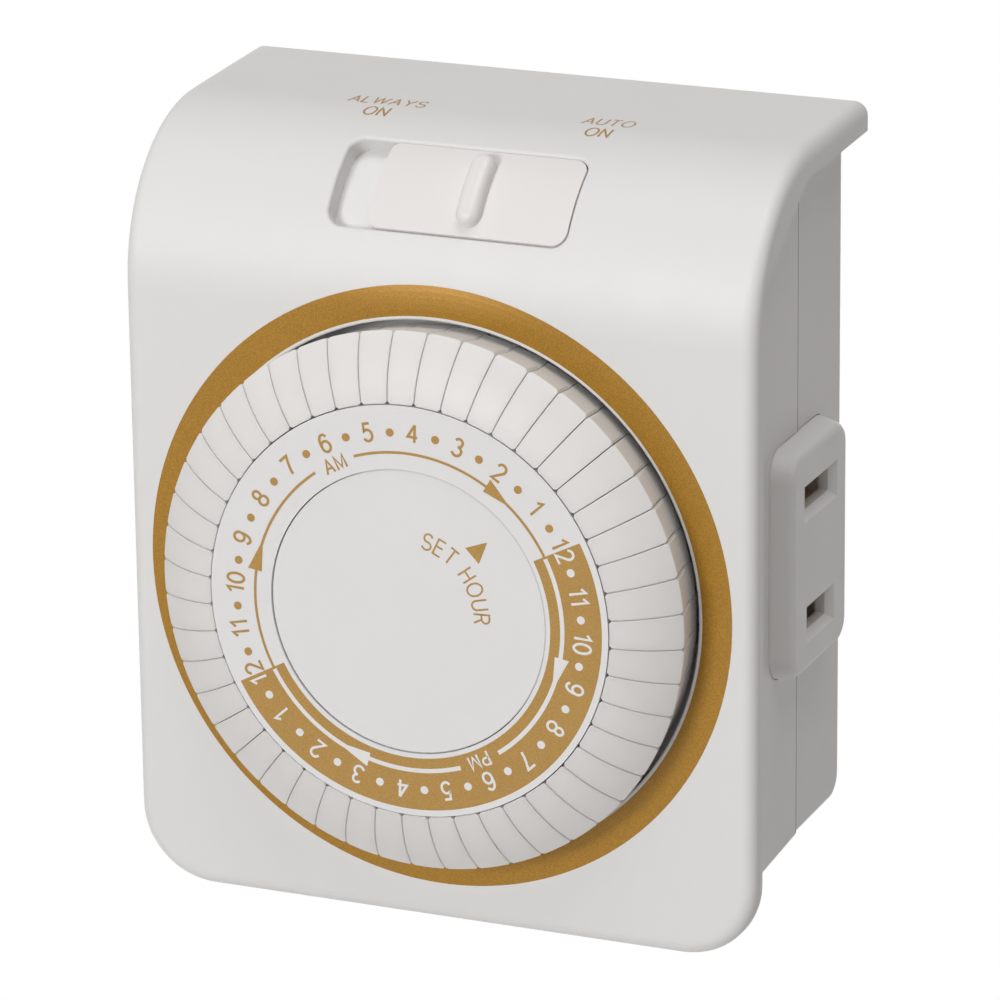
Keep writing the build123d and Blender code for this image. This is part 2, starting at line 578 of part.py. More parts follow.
DIAL_PHASE = POINTER_ANGLE
WHEEL_PITCH = WHEEL_MODULE * (WHEEL_TEETH + PINION_TEETH) / 2
DIAL_PITCH = DIAL_MODULE * (DIAL_TEETH + PINION_TEETH) / 2
PIN_1 = polar(DIAL_PITCH, PIN_ANGLE_1)
PIN_2 = tuple(a + b for a, b in zip(PIN_1, polar(WHEEL_PITCH, PIN_ANGLE_2)))
PIN_3 = tuple(a + b for a, b in zip(PIN_2, polar(WHEEL_PITCH, PIN_ANGLE_3)))
PHASE_1 = meshing_phase(PINION_TEETH, DIAL_TEETH, DIAL_PHASE, PIN_ANGLE_1)
PHASE_2 = meshing_phase(PINION_TEETH, WHEEL_TEETH, PHASE_1, PIN_ANGLE_2)
PHASE_3 = meshing_phase(PINION_TEETH, WHEEL_TEETH, PHASE_2, PIN_ANGLE_3)


def dial_gear():
    outline = gear_outline(DIAL_TEETH, DIAL_MODULE, DIAL_PHASE) - Circle(HUB_RADIUS + 0.1)
    lightening = Sketch() + [Rot(0, 0, 60 * i) * Pos(10.6, 0) * Circle(1.6) for i in range(6)]
    return layer(outline - lightening, DIAL_GEAR_FRONT, DIAL_GEAR_BACK)


def compound_gear(place, wheel_front, pinion_module, pinion_front, phase):
    x, z = place
    wheel = layer(Pos(x, z) * gear_outline(WHEEL_TEETH, WHEEL_MODULE, phase),
                  wheel_front, wheel_front + WHEEL_THICKNESS)
    pinion = layer(Pos(x, z) * gear_outline(PINION_TEETH, pinion_module, phase),
                   pinion_front, wheel_front)
    return wheel + pinion - disc(GEAR_PIN_RADIUS + FIT, 0, DEPTH, x, z)


def gear_pins():
    back = PLATE_FRONT + PLATE_THICKNESS
    pins = []
    for x, z in (PIN_1, PIN_2):
        front = (DIAL_GEAR_FRONT if (x, z) == PIN_1 else WHEEL_1_FRONT) - 0.1
        foot = disc(GEAR_PIN_RADIUS + 0.7, WHEEL_2_FRONT + WHEEL_THICKNESS + FIT, PLATE_FRONT, x, z)
        pins.append(disc(GEAR_PIN_RADIUS, front, back, x, z) + foot)
    return one_node(pins)


def gear_plate():
    half, bottom = HALF_HOUSING - PLATE_MARGIN, FLOOR_FRONT + PLATE_LIFT
    outline = polygon([(-half, bottom), (half, bottom), (half, -15.0), (11.0, -11.0), (11.0, 10.0),
                       (-6.0, 15.0), (9.4 - half, PLATE_TOP), (-half, PLATE_TOP)])
    outline = fillet(outline.vertices(), 2.5)
    outline -= Circle(STUD_RADIUS + FIT / 2)
    outline -= Pos(*PIN_3) * Circle(MOTOR_SHAFT_RADIUS + 0.4)
    for pin in (PIN_1, PIN_2):
        outline -= Pos(*pin) * Circle(GEAR_PIN_RADIUS + FIT / 2)
    for x, z in SCREW_PLACES[:3]:
        outline -= Pos(x, z) * Circle(SCREW_RADIUS + 0.15)
    for x, z in motor_screw_places():
        outline -= Pos(x, z) * Circle(0.95)
    return layer(outline, PLATE_FRONT, PLATE_FRONT + PLATE_THICKNESS)


# ---------------------------------------------------------------- motor
MOTOR_FRONT = PLATE_FRONT + PLATE_THICKNESS
MOTOR_BACK = MOTOR_FRONT + MOTOR_LENGTH


def motor_screw_places():
    reach = MOTOR_RADIUS - 2.2
    return [(MOTOR_X + dx, MOTOR_Z + dz) for dx, dz in (polar(reach, 165), polar(reach, 60))]


def motor_lid():
    outline = Pos(MOTOR_X, MOTOR_Z) * Circle(MOTOR_RADIUS - MOTOR_SHEET - FIT)
    outline -= Pos(*PIN_3) * Circle(MOTOR_SHAFT_RADIUS + FIT)
    outline -= Pos(MOTOR_X, MOTOR_Z) * Circle(ROTOR_SHAFT_RADIUS + FIT)
    for x, z in motor_screw_places():
        outline -= Pos(x, z) * Circle(0.85)
    return layer(outline, MOTOR_FRONT, MOTOR_FRONT + 1.0)


def motor_cup():
    inner = MOTOR_RADIUS - MOTOR_SHEET
    return turned([(MOTOR_RADIUS, MOTOR_FRONT), (MOTOR_RADIUS, MOTOR_BACK), (2.6, MOTOR_BACK),
                   (2.6, MOTOR_BACK + 0.8), (ROTOR_SHAFT_RADIUS + FIT, MOTOR_BACK + 0.8),
                   (ROTOR_SHAFT_RADIUS + FIT, MOTOR_BACK - MOTOR_SHEET),
                   (inner, MOTOR_BACK - MOTOR_SHEET), (inner, MOTOR_FRONT)], MOTOR_X, MOTOR_Z)


def coil_bobbin():
    front, back = MOTOR_FRONT + 2.6, MOTOR_BACK - MOTOR_SHEET
    return turned([(BOBBIN_BORE, front), (BOBBIN_RADIUS, front), (BOBBIN_RADIUS, front + BOBBIN_FLANGE),
                   (WINDING_INNER, front + BOBBIN_FLANGE), (WINDING_INNER, back - BOBBIN_FLANGE),
                   (BOBBIN_RADIUS, back - BOBBIN_FLANGE), (BOBBIN_RADIUS, back), (BOBBIN_BORE, back)],
                  MOTOR_X, MOTOR_Z)


def coil_winding():
    front = MOTOR_FRONT + 2.6 + BOBBIN_FLANGE
    back = MOTOR_BACK - MOTOR_SHEET - BOBBIN_FLANGE
    return turned([(WINDING_INNER, front), (WINDING_OUTER, front), (WINDING_OUTER, back),
                   (WINDING_INNER, back)], MOTOR_X, MOTOR_Z)


def motor_rotor():
    front, back = MOTOR_FRONT + 2.8, MOTOR_BACK - MOTOR_SHEET - 0.4
    shaft_front, shaft_back = MOTOR_FRONT + 0.1, MOTOR_BACK + 0.7
    return turned([(0, shaft_front), (ROTOR_SHAFT_RADIUS, shaft_front), (ROTOR_SHAFT_RADIUS, front),
                   (ROTOR_RADIUS, front), (ROTOR_RADIUS, back), (ROTOR_SHAFT_RADIUS, back),
                   (ROTOR_SHAFT_RADIUS, shaft_back), (0, shaft_back)], MOTOR_X, MOTOR_Z)


def motor_pinion():
    x, z = PIN_3
    front, back = WHEEL_2_FRONT - 0.1, WHEEL_2_FRONT + WHEEL_THICKNESS + 0.1
    teeth = layer(Pos(x, z) * gear_outline(PINION_TEETH, WHEEL_MODULE, PHASE_3), front, back)
    return teeth + disc(MOTOR_SHAFT_RADIUS, front, MOTOR_FRONT + 2.2, x, z)


def motor_screws():
    def screw(x, z):
        head = disc(1.6, PLATE_FRONT - 0.9, PLATE_FRONT, x, z)
        return head + disc(0.8, PLATE_FRONT - 0.5, MOTOR_FRONT + 1.6, x, z)
    return one_node([screw(x, z) for x, z in motor_screw_places()])


# ---------------------------------------------------------------- plug and outlet
SLOT_PLACES = {"neutral": (BLADE_PITCH / 2, SLOT_NEUTRAL), "hot": (-BLADE_PITCH / 2, SLOT_HOT)}


def blade(x, width, inner_depth):
    """One flat blade with a chamfered tip and its locating hole, down to an inner depth."""
    start = inner_depth - DEPTH
    bar = Pos(x, (start + BLADE_LENGTH) / 2, 0) * Box(BLADE_THICKNESS, BLADE_LENGTH - start, width)
    tip = bar.edges().filter_by(lambda e: abs(e.center().Y - BLADE_LENGTH) < 0.01)
    bar = chamfer(tip, BLADE_THICKNESS / 3)
    hole = Pos(x, BLADE_LENGTH - BLADE_HOLE_FROM_TIP, 0) * Rot(0, 90, 0) * Cylinder(BLADE_HOLE, 4)
    return bar - hole


def strip(left, right, low, high, depth):
    """Flat bus bar in a front-view plane, with heights from the plug's centre line."""
    y = depth + BAR_THICKNESS / 2 - DEPTH
    return Pos((left + right) / 2, y, (low + high) / 2) * Box(right - left, BAR_THICKNESS, high - low)


def neutral_blade():
    x, edge = -BLADE_PITCH / 2, BLADE_THICKNESS / 2
    slot_z = SLOT_PLACES["neutral"][0]
    riser = strip(x - edge, x + edge, 0, slot_z + 1.5, NEUTRAL_BAR_DEPTH)
    bar = strip(x - edge, CONTACT_ROOT - 0.8, slot_z - 1.5, slot_z + 1.5, NEUTRAL_BAR_DEPTH)
    return blade(x, NEUTRAL_WIDTH, NEUTRAL_BAR_DEPTH) + riser + bar


def hot_blade():
    x, edge = BLADE_PITCH / 2, BLADE_THICKNESS / 2
    top = LEAF_ROOT + DIAL_Z + 1.5
    bar = strip(x - edge, x + edge + 1.8, -HOT_WIDTH / 2, top, HOT_BAR_DEPTH)
    return blade(x, HOT_WIDTH, HOT_BAR_DEPTH) + bar


def outlet_face():
    outer, base = OUTLET_FACE, HOUSING_WIDTH / 2
    plane = Plane(origin=(base, -DEPTH, DIAL_Z), x_dir=(0, 1, 0), z_dir=(1, 0, 0))
    block = loft([plane * outlet_outline(OUTLET_DRAFT),
                  plane.offset(outer - base) * outlet_outline(0)])
    rim = block.edges().filter_by(lambda e: e.center().X > outer - 0.01)
    block = fillet(rim, OUTLET_EDGE)
    flange_back = base - FLOOR_STEP - HOUSING_WALL - FIT - OUTLET_FLANGE_THICKNESS
    flange_front = flange_back + OUTLET_FLANGE_THICKNESS
    block += across(outlet_outline(OUTLET_DRAFT), flange_back, base)
    block += across(outlet_outline(OUTLET_DRAFT + OUTLET_FLANGE), flange_back, flange_front)
    cell_depth = SLOT_NEUTRAL + 1.2
    tower_high, tower_long = OUTLET_HEIGHT - 2.4, cell_depth + 2 * 1.2
    root = CONTACT_ROOT - 0.6
    block += Pos((root + base) / 2, OUTLET_DEPTH - DEPTH, 0) * Box(base - root, tower_long, tower_high)
    for height, width in SLOT_PLACES.values():
        centre = OUTLET_DEPTH - DEPTH
        cell_end = outer - OUTLET_WALL
        block -= Pos((root + cell_end) / 2 - 0.5, centre, height) * Box(
            cell_end - root + 1, cell_depth, 2 * SLOT_HEIGHT + 1.4)
        block -= Pos(outer, centre, height) * Box(4 * OUTLET_WALL, width, SLOT_HEIGHT)
        mouth = Plane(origin=(outer, centre, height), x_dir=(0, 1, 0), z_dir=(1, 0, 0))
        wide = mouth * Rectangle(width + 2 * SLOT_LEAD_IN, SLOT_HEIGHT + 2 * SLOT_LEAD_IN)
        narrow = mouth.offset(-SLOT_LEAD_IN) * Rectangle(width, SLOT_HEIGHT)
        block -= loft([narrow, wide])
    return block


def contact_leaf(height, side):
    """Upper (side 1) or lower (side -1) spring leaf of an outlet contact, as a front-view outline."""
    mouth = OUTLET_FACE - OUTLET_WALL - 0.3
    root = CONTACT_ROOT
    pinch = mouth - 3.0
    half_pinch, half_mouth, half_root = 0.72, 1.5, 1.9
    z = height - DIAL_Z
    inner = [(root, half_root - CONTACT_SHEET), (root + 4, half_root - CONTACT_SHEET),
             (pinch, half_pinch), (mouth, half_mouth)]
    outer = [(x, h + CONTACT_SHEET) for x, h in reversed(inner)]
    return polygon([(x, z + side * h) for x, h in inner + outer])


def outlet_contact(height):
    front = OUTLET_DEPTH - CONTACT_WIDTH / 2
    clip = layer(contact_leaf(height, 1), front, front + CONTACT_WIDTH)
    clip += layer(contact_leaf(height, -1), front, front + CONTACT_WIDTH)
    back = Pos(CONTACT_ROOT, OUTLET_DEPTH - DEPTH, height) * Box(CONTACT_SHEET * 2, CONTACT_WIDTH, 3.8)
    return clip + back


def neutral_contact():
    height = SLOT_PLACES["neutral"][0]
    clip = outlet_contact(height)
    front, back = OUTLET_DEPTH + CONTACT_WIDTH / 2 - 0.5, NEUTRAL_BAR_DEPTH
    x = CONTACT_ROOT - 0.3 - CONTACT_SHEET
    tab = layer(Pos(x, height - DIAL_Z) * Rectangle(CONTACT_SHEET, 3.0), OUTLET_DEPTH - 2, back)
    link = layer(Pos(CONTACT_ROOT - 0.6, height - DIAL_Z) * Rectangle(1.2, 3.0), OUTLET_DEPTH - 2,
                 OUTLET_DEPTH + 2)
    return clip + tab + link


def hot_contact():
    """Hot contact of the outlet with the bar that comes down from the switch."""
    height = SLOT_PLACES["hot"][0]
    clip = outlet_contact(height)
    left, right, low = STRIP_LEFT, STRIP_LEFT + STRIP_WIDTH, height - DIAL_Z - STRIP_WIDTH / 2
    edge, top = NOSE_X + RIVET_RADIUS, FIXED_Z + RIVET_RADIUS
    outline = polygon([(left, low), (left, top), (edge, top), (edge, FIXED_Z - RIVET_RADIUS),
                       (right, FIXED_Z - RIVET_RADIUS), (right, low + STRIP_WIDTH),
                       (CONTACT_ROOT, low + STRIP_WIDTH), (CONTACT_ROOT, low)])
    outline -= Pos(NOSE_X, FIXED_Z) * Circle(0.6 * RIVET_RADIUS + FIT / 2)
    return clip + layer(outline, STRIP_DEPTH, STRIP_DEPTH + CONTACT_SHEET)


# ---------------------------------------------------------------- mode switch
def mode_slider():
    half_angle = degrees(asin((RECESS_HEIGHT / 2 - SLIDER_PLAY) / ROLL_RADIUS))
    height = 2 * ROLL_RADIUS * sin(radians(half_angle))
    outline = Rectangle(SLIDER_LENGTH, height)
    corners = outline.vertices().group_by(Axis.X)
    outline = fillet(corners[-1], RECESS_CORNER - SLIDER_PLAY)
    outline = fillet(outline.vertices().group_by(Axis.X)[0], SLIDER_CORNER)
    outline = Pos(SLIDER_X, 0) * outline
    plate = switch_block(outline, -ROLL_RADIUS, 2)
    plate &= roll_ring(ROLL_RADIUS - SLIDER_THICKNESS, ROLL_RADIUS - SLIDER_SUNK)
    rib = switch_block(Pos(SLIDER_X, 0) * Rot(0, 0, 90) * SlotOverall(RIB_LENGTH, RIB_WIDTH), -2, 3)
    rib &= roll_ring(ROLL_RADIUS - SLIDER_THICKNESS / 2, ROLL_RADIUS + RIB_HEIGHT)
    top = rib.faces().sort_by(lambda f: (f.center() - switch_plane(-ROLL_RADIUS).origin).length)[-1]
    rib = fillet(top.edges(), RIB_ROUND)
    stem_foot = -RECESS_DEPTH - TUB_WALL - 0.9 - CARRIAGE_THICKNESS
    stem = switch_block(Pos(SLIDER_X, 0) * Rectangle(STEM_LENGTH, STEM_WIDTH), stem_foot,
                        -SLIDER_THICKNESS / 2)
    return plate + rib + stem


def slider_carriage():
    top = -RECESS_DEPTH - TUB_WALL - 0.9
    outline = Pos(SLIDER_X, 0) * RectangleRounded(CARRIAGE_LENGTH, CARRIAGE_WIDTH, 0.8)
    outline -= Pos(SLIDER_X, 0) * Rectangle(STEM_LENGTH + 2 * FIT, STEM_WIDTH + 2 * FIT)
    plate = switch_block(outline, top - CARRIAGE_THICKNESS, top)
    cam_x = SLIDER_X + STEM_LENGTH / 2 + 0.6 + CAM_WIDTH / 2
    cam = switch_block(Pos(cam_x, -CARRIAGE_WIDTH / 4) * Rectangle(CAM_WIDTH, CARRIAGE_WIDTH / 2),
                       top - CARRIAGE_THICKNESS - CAM_REACH, top - CARRIAGE_THICKNESS / 2)
    return plate + cam


def detent_spring():
    """Arched leaf between the carriage and the underside of the recess."""
    top = -RECESS_DEPTH - TUB_WALL - 0.9
    sheet, rise, reach = 0.25, 0.75, 2.2
    x0 = SLIDER_X - CARRIAGE_LENGTH / 2 + 0.4
    outline = polygon([(x0, 0), (x0 + 1, 0), (x0 + reach, rise - sheet), (x0 + reach + 0.6, rise - sheet),
                       (x0 + reach + 0.6, rise), (x0 + reach - 0.1, rise), (x0 + 0.9, sheet), (x0, sheet)])
    base = switch_plane(top)
    side = Plane(origin=base.origin - base.y_dir * 1.2, x_dir=base.x_dir, z_dir=-base.y_dir)
    return extrude(side * outline, -2.4)


# ---------------------------------------------------------------- follower lever and contacts
NOSE_ANGLE = tripper_angle(0)
NOSE_X, NOSE_Z = polar((TAIL_INNER + TAIL_OUTER) / 2, NOSE_ANGLE)
LEAF_WIDTH = 4.4
FIXED_Z = LEAF_ROOT - 13.9
RIVET_HEAD = 1.1


def switch_lever():
    hub = Circle(LEVER_HUB_RADIUS)
    hub = across(Pos(LEVER_DEPTH, LEVER_HEIGHT) * hub, LEVER_LEFT, LEVER_RIGHT)
    arm_front = LEVER_DEPTH - 0.9
    arm = polygon([(arm_front, LEVER_HEIGHT), (arm_front, NOSE_Z - 1.6),
                   (arm_front + LEVER_THICKNESS, NOSE_Z - 1.6),
                   (arm_front + LEVER_THICKNESS, LEVER_HEIGHT - 6.0),
                   (LEAF_DEPTH - 0.15, LEVER_HEIGHT - 4.6), (LEAF_DEPTH - 0.15, LEVER_HEIGHT - 4.0),
                   (arm_front + LEVER_THICKNESS, LEVER_HEIGHT - 3.0),
                   (arm_front + LEVER_THICKNESS, LEVER_HEIGHT)])
    lever = hub + across(arm, NOSE_X - 1.3, NOSE_X + 1.3)
    nose_tip = TAIL_END + NOSE_GAP
    lever += disc(NOSE_RADIUS, nose_tip + NOSE_RADIUS / 2, arm_front + 1, NOSE_X, NOSE_Z)
    lever += turned([(0, nose_tip), (NOSE_RADIUS / 2, nose_tip),
                     (NOSE_RADIUS, nose_tip + NOSE_RADIUS / 2), (0, nose_tip + NOSE_RADIUS / 2)],
                    NOSE_X, NOSE_Z)
    bar_back, bar_low, bar_top = LEVER_DEPTH + 1.2, LEVER_HEIGHT + 2.3, LEVER_HEIGHT + 3.5
    bar = polygon([(bar_back - 1.4, bar_low), (bar_back - 1.4, bar_top), (bar_back, bar_top),
                   (bar_back, bar_low)])
    riser = polygon([(bar_back - 1.4, LEVER_HEIGHT), (bar_back - 1.4, bar_top), (bar_back, bar_top),
                     (bar_back, LEVER_HEIGHT)])
    lever += across(riser, LEVER_LEFT, LEVER_LEFT + 2)
    tooth_right = SLIDER_X + STEM_LENGTH / 2 + 0.6 - SLIDER_TRAVEL - GAP
    tooth_left = tooth_right - 2.0
    lever += across(bar, tooth_left, LEVER_LEFT + 1)
    tooth = polygon([(bar_back - 1.4, bar_top - 0.6), (bar_back - 2.9, bar_top + 1.0),
                     (bar_back - 2.1, bar_top + 2.0), (bar_back, bar_top - 0.6)])
    lever += across(tooth, tooth_left, tooth_right)
    return lever - across(Pos(LEVER_DEPTH, LEVER_HEIGHT) * Circle(LEVER_PIN_RADIUS + FIT), -30, 30)


def lever_pin():
    reach = EAR_THICKNESS + 0.1
    return across(Pos(LEVER_DEPTH, LEVER_HEIGHT) * Circle(LEVER_PIN_RADIUS),
                  LEVER_LEFT - reach, LEVER_RIGHT + reach)


def switch_base():
    left, right = LEVER_LEFT - EAR_THICKNESS - 0.1, LEVER_RIGHT + EAR_THICKNESS + 0.1
    low, high = FIXED_Z - 3.0, LEAF_ROOT + 4.0
    wall = polygon([(BASE_FRONT, low), (BASE_FRONT, high), (BASE_FRONT + BASE_THICKNESS, high),
                    (BASE_FRONT + BASE_THICKNESS, low)])
    base = across(wall, left, right)
    ear = polygon([(LEVER_DEPTH - 2.0, LEVER_HEIGHT - 2.4), (LEVER_DEPTH - 2.0, LEVER_HEIGHT + 1.8),
                   (BASE_FRONT + 0.5, LEVER_HEIGHT + 1.8), (BASE_FRONT + 0.5, LEVER_HEIGHT - 5.0)])
    base += across(ear, left, left + EAR_THICKNESS) + across(ear, right - EAR_THICKNESS, right)
    hole = Pos(LEVER_DEPTH, LEVER_HEIGHT) * Circle(LEVER_PIN_RADIUS + FIT / 2)
    base -= across(hole, left - 1, right + 1)
    foot_x = (NOSE_X - LEAF_WIDTH / 2 - 0.2, NOSE_X + LEAF_WIDTH / 2 + 0.2)
    foot = polygon([(LEAF_DEPTH + LEAF_THICKNESS + FIT, LEAF_ROOT + 0.4), (BASE_FRONT + 0.5, LEAF_ROOT + 0.4),
                    (BASE_FRONT + 0.5, high), (LEAF_DEPTH + LEAF_THICKNESS + FIT, high)])
    base += across(foot, *foot_x)
    base -= disc(RIVET_RADIUS * 0.6 + FIT, BASE_FRONT - 1, BASE_FRONT + BASE_THICKNESS + 1, NOSE_X, FIXED_Z)
    return base


def moving_contact():
    """Spring leaf with its contact rivet; it hangs from the top of the switch base."""
    low, high = FIXED_Z - 2.0, LEAF_ROOT + 0.2
    leaf = Pos(NOSE_X, (low + high) / 2) * Rectangle(LEAF_WIDTH, high - low)
    piece = layer(leaf, LEAF_DEPTH, LEAF_DEPTH + LEAF_THICKNESS)
    back = LEAF_DEPTH + LEAF_THICKNESS
    return piece + disc(RIVET_RADIUS, back - 0.1, back + RIVET_HEAD, NOSE_X, FIXED_Z)


def leaf_clamp():
    """Brass strap that holds the leaf's root and brings the hot bar to it."""
    low, high = LEAF_ROOT + 0.4, LEAF_ROOT + 3.6
    front = LEAF_DEPTH
    strap = layer(Pos(NOSE_X, (low + high) / 2) * Rectangle(LEAF_WIDTH, high - low),
                  front, front + LEAF_THICKNESS)
    return strap


def fixed_contact():
    """Rivet through the base and the hot contact's strip, headed behind it."""
    front = LEAF_DEPTH + LEAF_THICKNESS + RIVET_HEAD + CONTACT_GAP
    behind = STRIP_DEPTH + CONTACT_SHEET
    rivet = disc(RIVET_RADIUS, front, BASE_FRONT, NOSE_X, FIXED_Z)
    rivet += disc(0.6 * RIVET_RADIUS, BASE_FRONT - 0.1, behind + 0.1, NOSE_X, FIXED_Z)
    return rivet + disc(RIVET_RADIUS, behind, behind + 0.7, NOSE_X, FIXED_Z)


# ---------------------------------------------------------------- the assembly
nodes["front_cover"] = front_cover()
nodes["front_housing"] = front_housing()
nodes["rear_housing"] = rear_housing()
nodes["housing_screws"] = housing_screws()
nodes["outlet_face"] = outlet_face()
nodes["dial_ring"] = dial_ring()
nodes["dial_gear"] = dial_gear()
nodes["clutch_spring"] = clutch_spring()
nodes["hub_clip"] = hub_clip()
nodes["dial_cap"] = dial_cap()
nodes["centre_stud"] = centre_stud()
nodes["gear_plate"] = gear_plate()
nodes["gear_pins"] = gear_pins()
nodes["first_wheel"] = compound_gear(PIN_1, WHEEL_1_FRONT, DIAL_MODULE, DIAL_GEAR_FRONT, PHASE_1)
nodes["second_wheel"] = compound_gear(PIN_2, WHEEL_2_FRONT, WHEEL_MODULE, WHEEL_1_FRONT - 0.1, PHASE_2)
nodes["motor_pinion"] = motor_pinion()
nodes["motor_cup"] = motor_cup()
nodes["motor_lid"] = motor_lid()
nodes["motor_screws"] = motor_screws()
nodes["coil_bobbin"] = coil_bobbin()
nodes["coil_winding"] = coil_winding()
nodes["motor_rotor"] = motor_rotor()
nodes["hot_blade"] = hot_blade()
nodes["neutral_blade"] = neutral_blade()
nodes["hot_contact"] = hot_contact()
nodes["neutral_contact"] = neutral_contact()
nodes["mode_slider"] = mode_slider()
nodes["slider_carriage"] = slider_carriage()
nodes["detent_spring"] = detent_spring()
nodes["switch_base"] = switch_base()
nodes["switch_lever"] = switch_lever()
nodes["lever_pin"] = lever_pin()
nodes["moving_contact"] = moving_contact()
nodes["leaf_clamp"] = leaf_clamp()
nodes["fixed_contact"] = fixed_contact()
tripper_blank = tripper()
for hour in range(HOURS):
    # the first pair follows one in the morning; the hours run anticlockwise round the dial
    clock_hour = (hour + 1) % HOURS
    half_day = "am" if clock_hour < 12 else "pm"
    nodes[f"tripper_{half_day}_{(clock_hour - 1) % 12 + 1:02d}"] = hour_trippers(hour, tripper_blank)

os.makedirs("parts", exist_ok=True)
for name, shape in nodes.items():
    export_step(shape, f"parts/{name}.step")
print(len(nodes), "nodes, slider travel", round(SLIDER_TRAVEL, 3))
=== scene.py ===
from math import asin, atan2, ceil, cos, degrees, radians, sin, sqrt

import bpy
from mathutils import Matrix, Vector


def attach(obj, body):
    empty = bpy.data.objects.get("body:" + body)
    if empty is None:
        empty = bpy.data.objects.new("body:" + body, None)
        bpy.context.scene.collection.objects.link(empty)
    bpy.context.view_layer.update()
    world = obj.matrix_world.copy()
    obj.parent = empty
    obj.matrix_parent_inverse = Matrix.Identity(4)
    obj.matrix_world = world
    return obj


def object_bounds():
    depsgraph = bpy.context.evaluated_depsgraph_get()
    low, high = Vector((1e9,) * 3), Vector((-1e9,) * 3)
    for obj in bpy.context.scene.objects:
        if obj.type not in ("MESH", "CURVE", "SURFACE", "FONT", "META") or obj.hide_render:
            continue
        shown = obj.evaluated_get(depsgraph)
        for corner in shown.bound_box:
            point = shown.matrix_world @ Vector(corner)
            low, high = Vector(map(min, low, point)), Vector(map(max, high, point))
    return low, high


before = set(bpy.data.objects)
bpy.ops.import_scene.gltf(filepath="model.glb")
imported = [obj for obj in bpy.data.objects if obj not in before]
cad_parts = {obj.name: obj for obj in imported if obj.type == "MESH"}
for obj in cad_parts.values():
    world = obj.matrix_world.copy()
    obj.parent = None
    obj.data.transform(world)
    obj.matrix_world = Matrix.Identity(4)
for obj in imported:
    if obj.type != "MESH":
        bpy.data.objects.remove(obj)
cad_low, cad_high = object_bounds()

# ---------------------------------------------------------------- studio
# The timer hangs in a pale room, as it does on its plug, with a white floor some way below it. A
# soft lamp stands at the upper left of its face, a weaker one overhead and one low behind it.
FLOOR_DROP = 0.30
FLOOR_SIZE = 12.0
FLOOR_GREY = 0.8
FLOOR_ROUGHNESS = 0.9
ROOM_LIGHT = 0.20
ROOM_COLOUR = (1.0, 0.93, 0.87)
WHITE = (1.0, 1.0, 1.0, 1.0)


class Wire:
    """A socket of a shader. Python's operators on it add Math nodes."""

    def __init__(self, shader, socket):
        self.shader = shader
        self.socket = socket

    def __add__(self, other):
        return self.shader.maths("ADD", self, other)

    def __mul__(self, other):
        return self.shader.maths("MULTIPLY", self, other)

    __radd__ = __add__
    __rmul__ = __mul__


class Shader:
    """The nodes of one material or of the room's light."""

    def __init__(self, tree):
        self.tree = tree

    def node(self, kind, settings, sockets, output=0):
        made = self.tree.nodes.new(kind)
        for key, value in settings.items():
            setattr(made, key, value)
        for key, value in sockets.items():
            self.plug(made.inputs[key], value)
        return Wire(self, made.outputs[output])

    def plug(self, socket, value):
        if isinstance(value, Wire):
            self.tree.links.new(value.socket, socket)
        else:
            socket.default_value = value

    def maths(self, operation, a, b):
        return self.node("ShaderNodeMath", {"operation": operation}, {0: a, 1: b})

    def seen_white(self, lit, glow, output):
        """Plain white to the camera, to mirrors and to glass, and the lit shader to every other ray."""
        rays = [self.node("ShaderNodeLightPath", {}, {}, ray)
                for ray in ("Is Camera Ray", "Is Glossy Ray", "Is Transmission Ray")]
        white = self.node(glow, {}, {"Color": WHITE, "Strength": 1.0})
        both = self.node("ShaderNodeMixShader", {}, {0: rays[0] + rays[1] + rays[2], 1: lit, 2: white})
        self.plug(self.tree.nodes[output].inputs["Surface"], both)


scene = bpy.context.scene
scene.view_settings.view_transform = "Standard"
scene.world = bpy.data.worlds.new("room")
scene.world.use_nodes = True
room = Shader(scene.world.node_tree)
room_light = room.tree.nodes["Background"]
room_light.inputs["Color"].default_value = (*ROOM_COLOUR, 1.0)
room_light.inputs["Strength"].default_value = ROOM_LIGHT
room.seen_white(Wire(room, room_light.outputs[0]), "ShaderNodeBackground", "World Output")

bpy.ops.mesh.primitive_plane_add(size=FLOOR_SIZE, location=(0, 0, cad_low.z - FLOOR_DROP))
floor = bpy.context.object
floor.name = "floor"
floor_paper = bpy.data.materials.new("floor_paper")
floor_paper.use_nodes = True
paper = Shader(floor_paper.node_tree)
paper_surface = paper.tree.nodes["Principled BSDF"]
paper_surface.inputs["Base Color"].default_value = (FLOOR_GREY, FLOOR_GREY, FLOOR_GREY, 1.0)
paper_surface.inputs["Roughness"].default_value = FLOOR_ROUGHNESS
paper.seen_white(Wire(paper, paper_surface.outputs[0]), "ShaderNodeEmission", "Material Output")
floor.data.materials.append(floor_paper)


def soft_lamp(name, place, size, power):
    lamp = bpy.data.lights.new(name, "AREA")
    lamp.shape = "SQUARE"
    lamp.size = size
    lamp.energy = power
    stand = bpy.data.objects.new(name, lamp)
    stand.location = place
    stand.rotation_euler = (-Vector(place)).to_track_quat("-Z", "Y").to_euler()
    scene.collection.objects.link(stand)


soft_lamp("key_lamp", place=(-0.26, -1.18, 0.34), size=0.36, power=7.5)
soft_lamp("top_lamp", place=(0.20, -0.25, 1.16), size=0.8, power=6.2)
soft_lamp("back_lamp", place=(-0.20, 1.15, -0.20), size=0.5, power=4.0)

# The camera stands to the right of the dial's axis and looks a little down on it.
CAMERA_PLACE = (0.22792, -0.55218, 0.19537)
CAMERA_TURN = (71.682, 0.635, 22.796)   # degrees about x, y and z
CAMERA_LENS = 220.3
SENSOR_WIDTH = 36
NEAREST_SEEN = 0.01

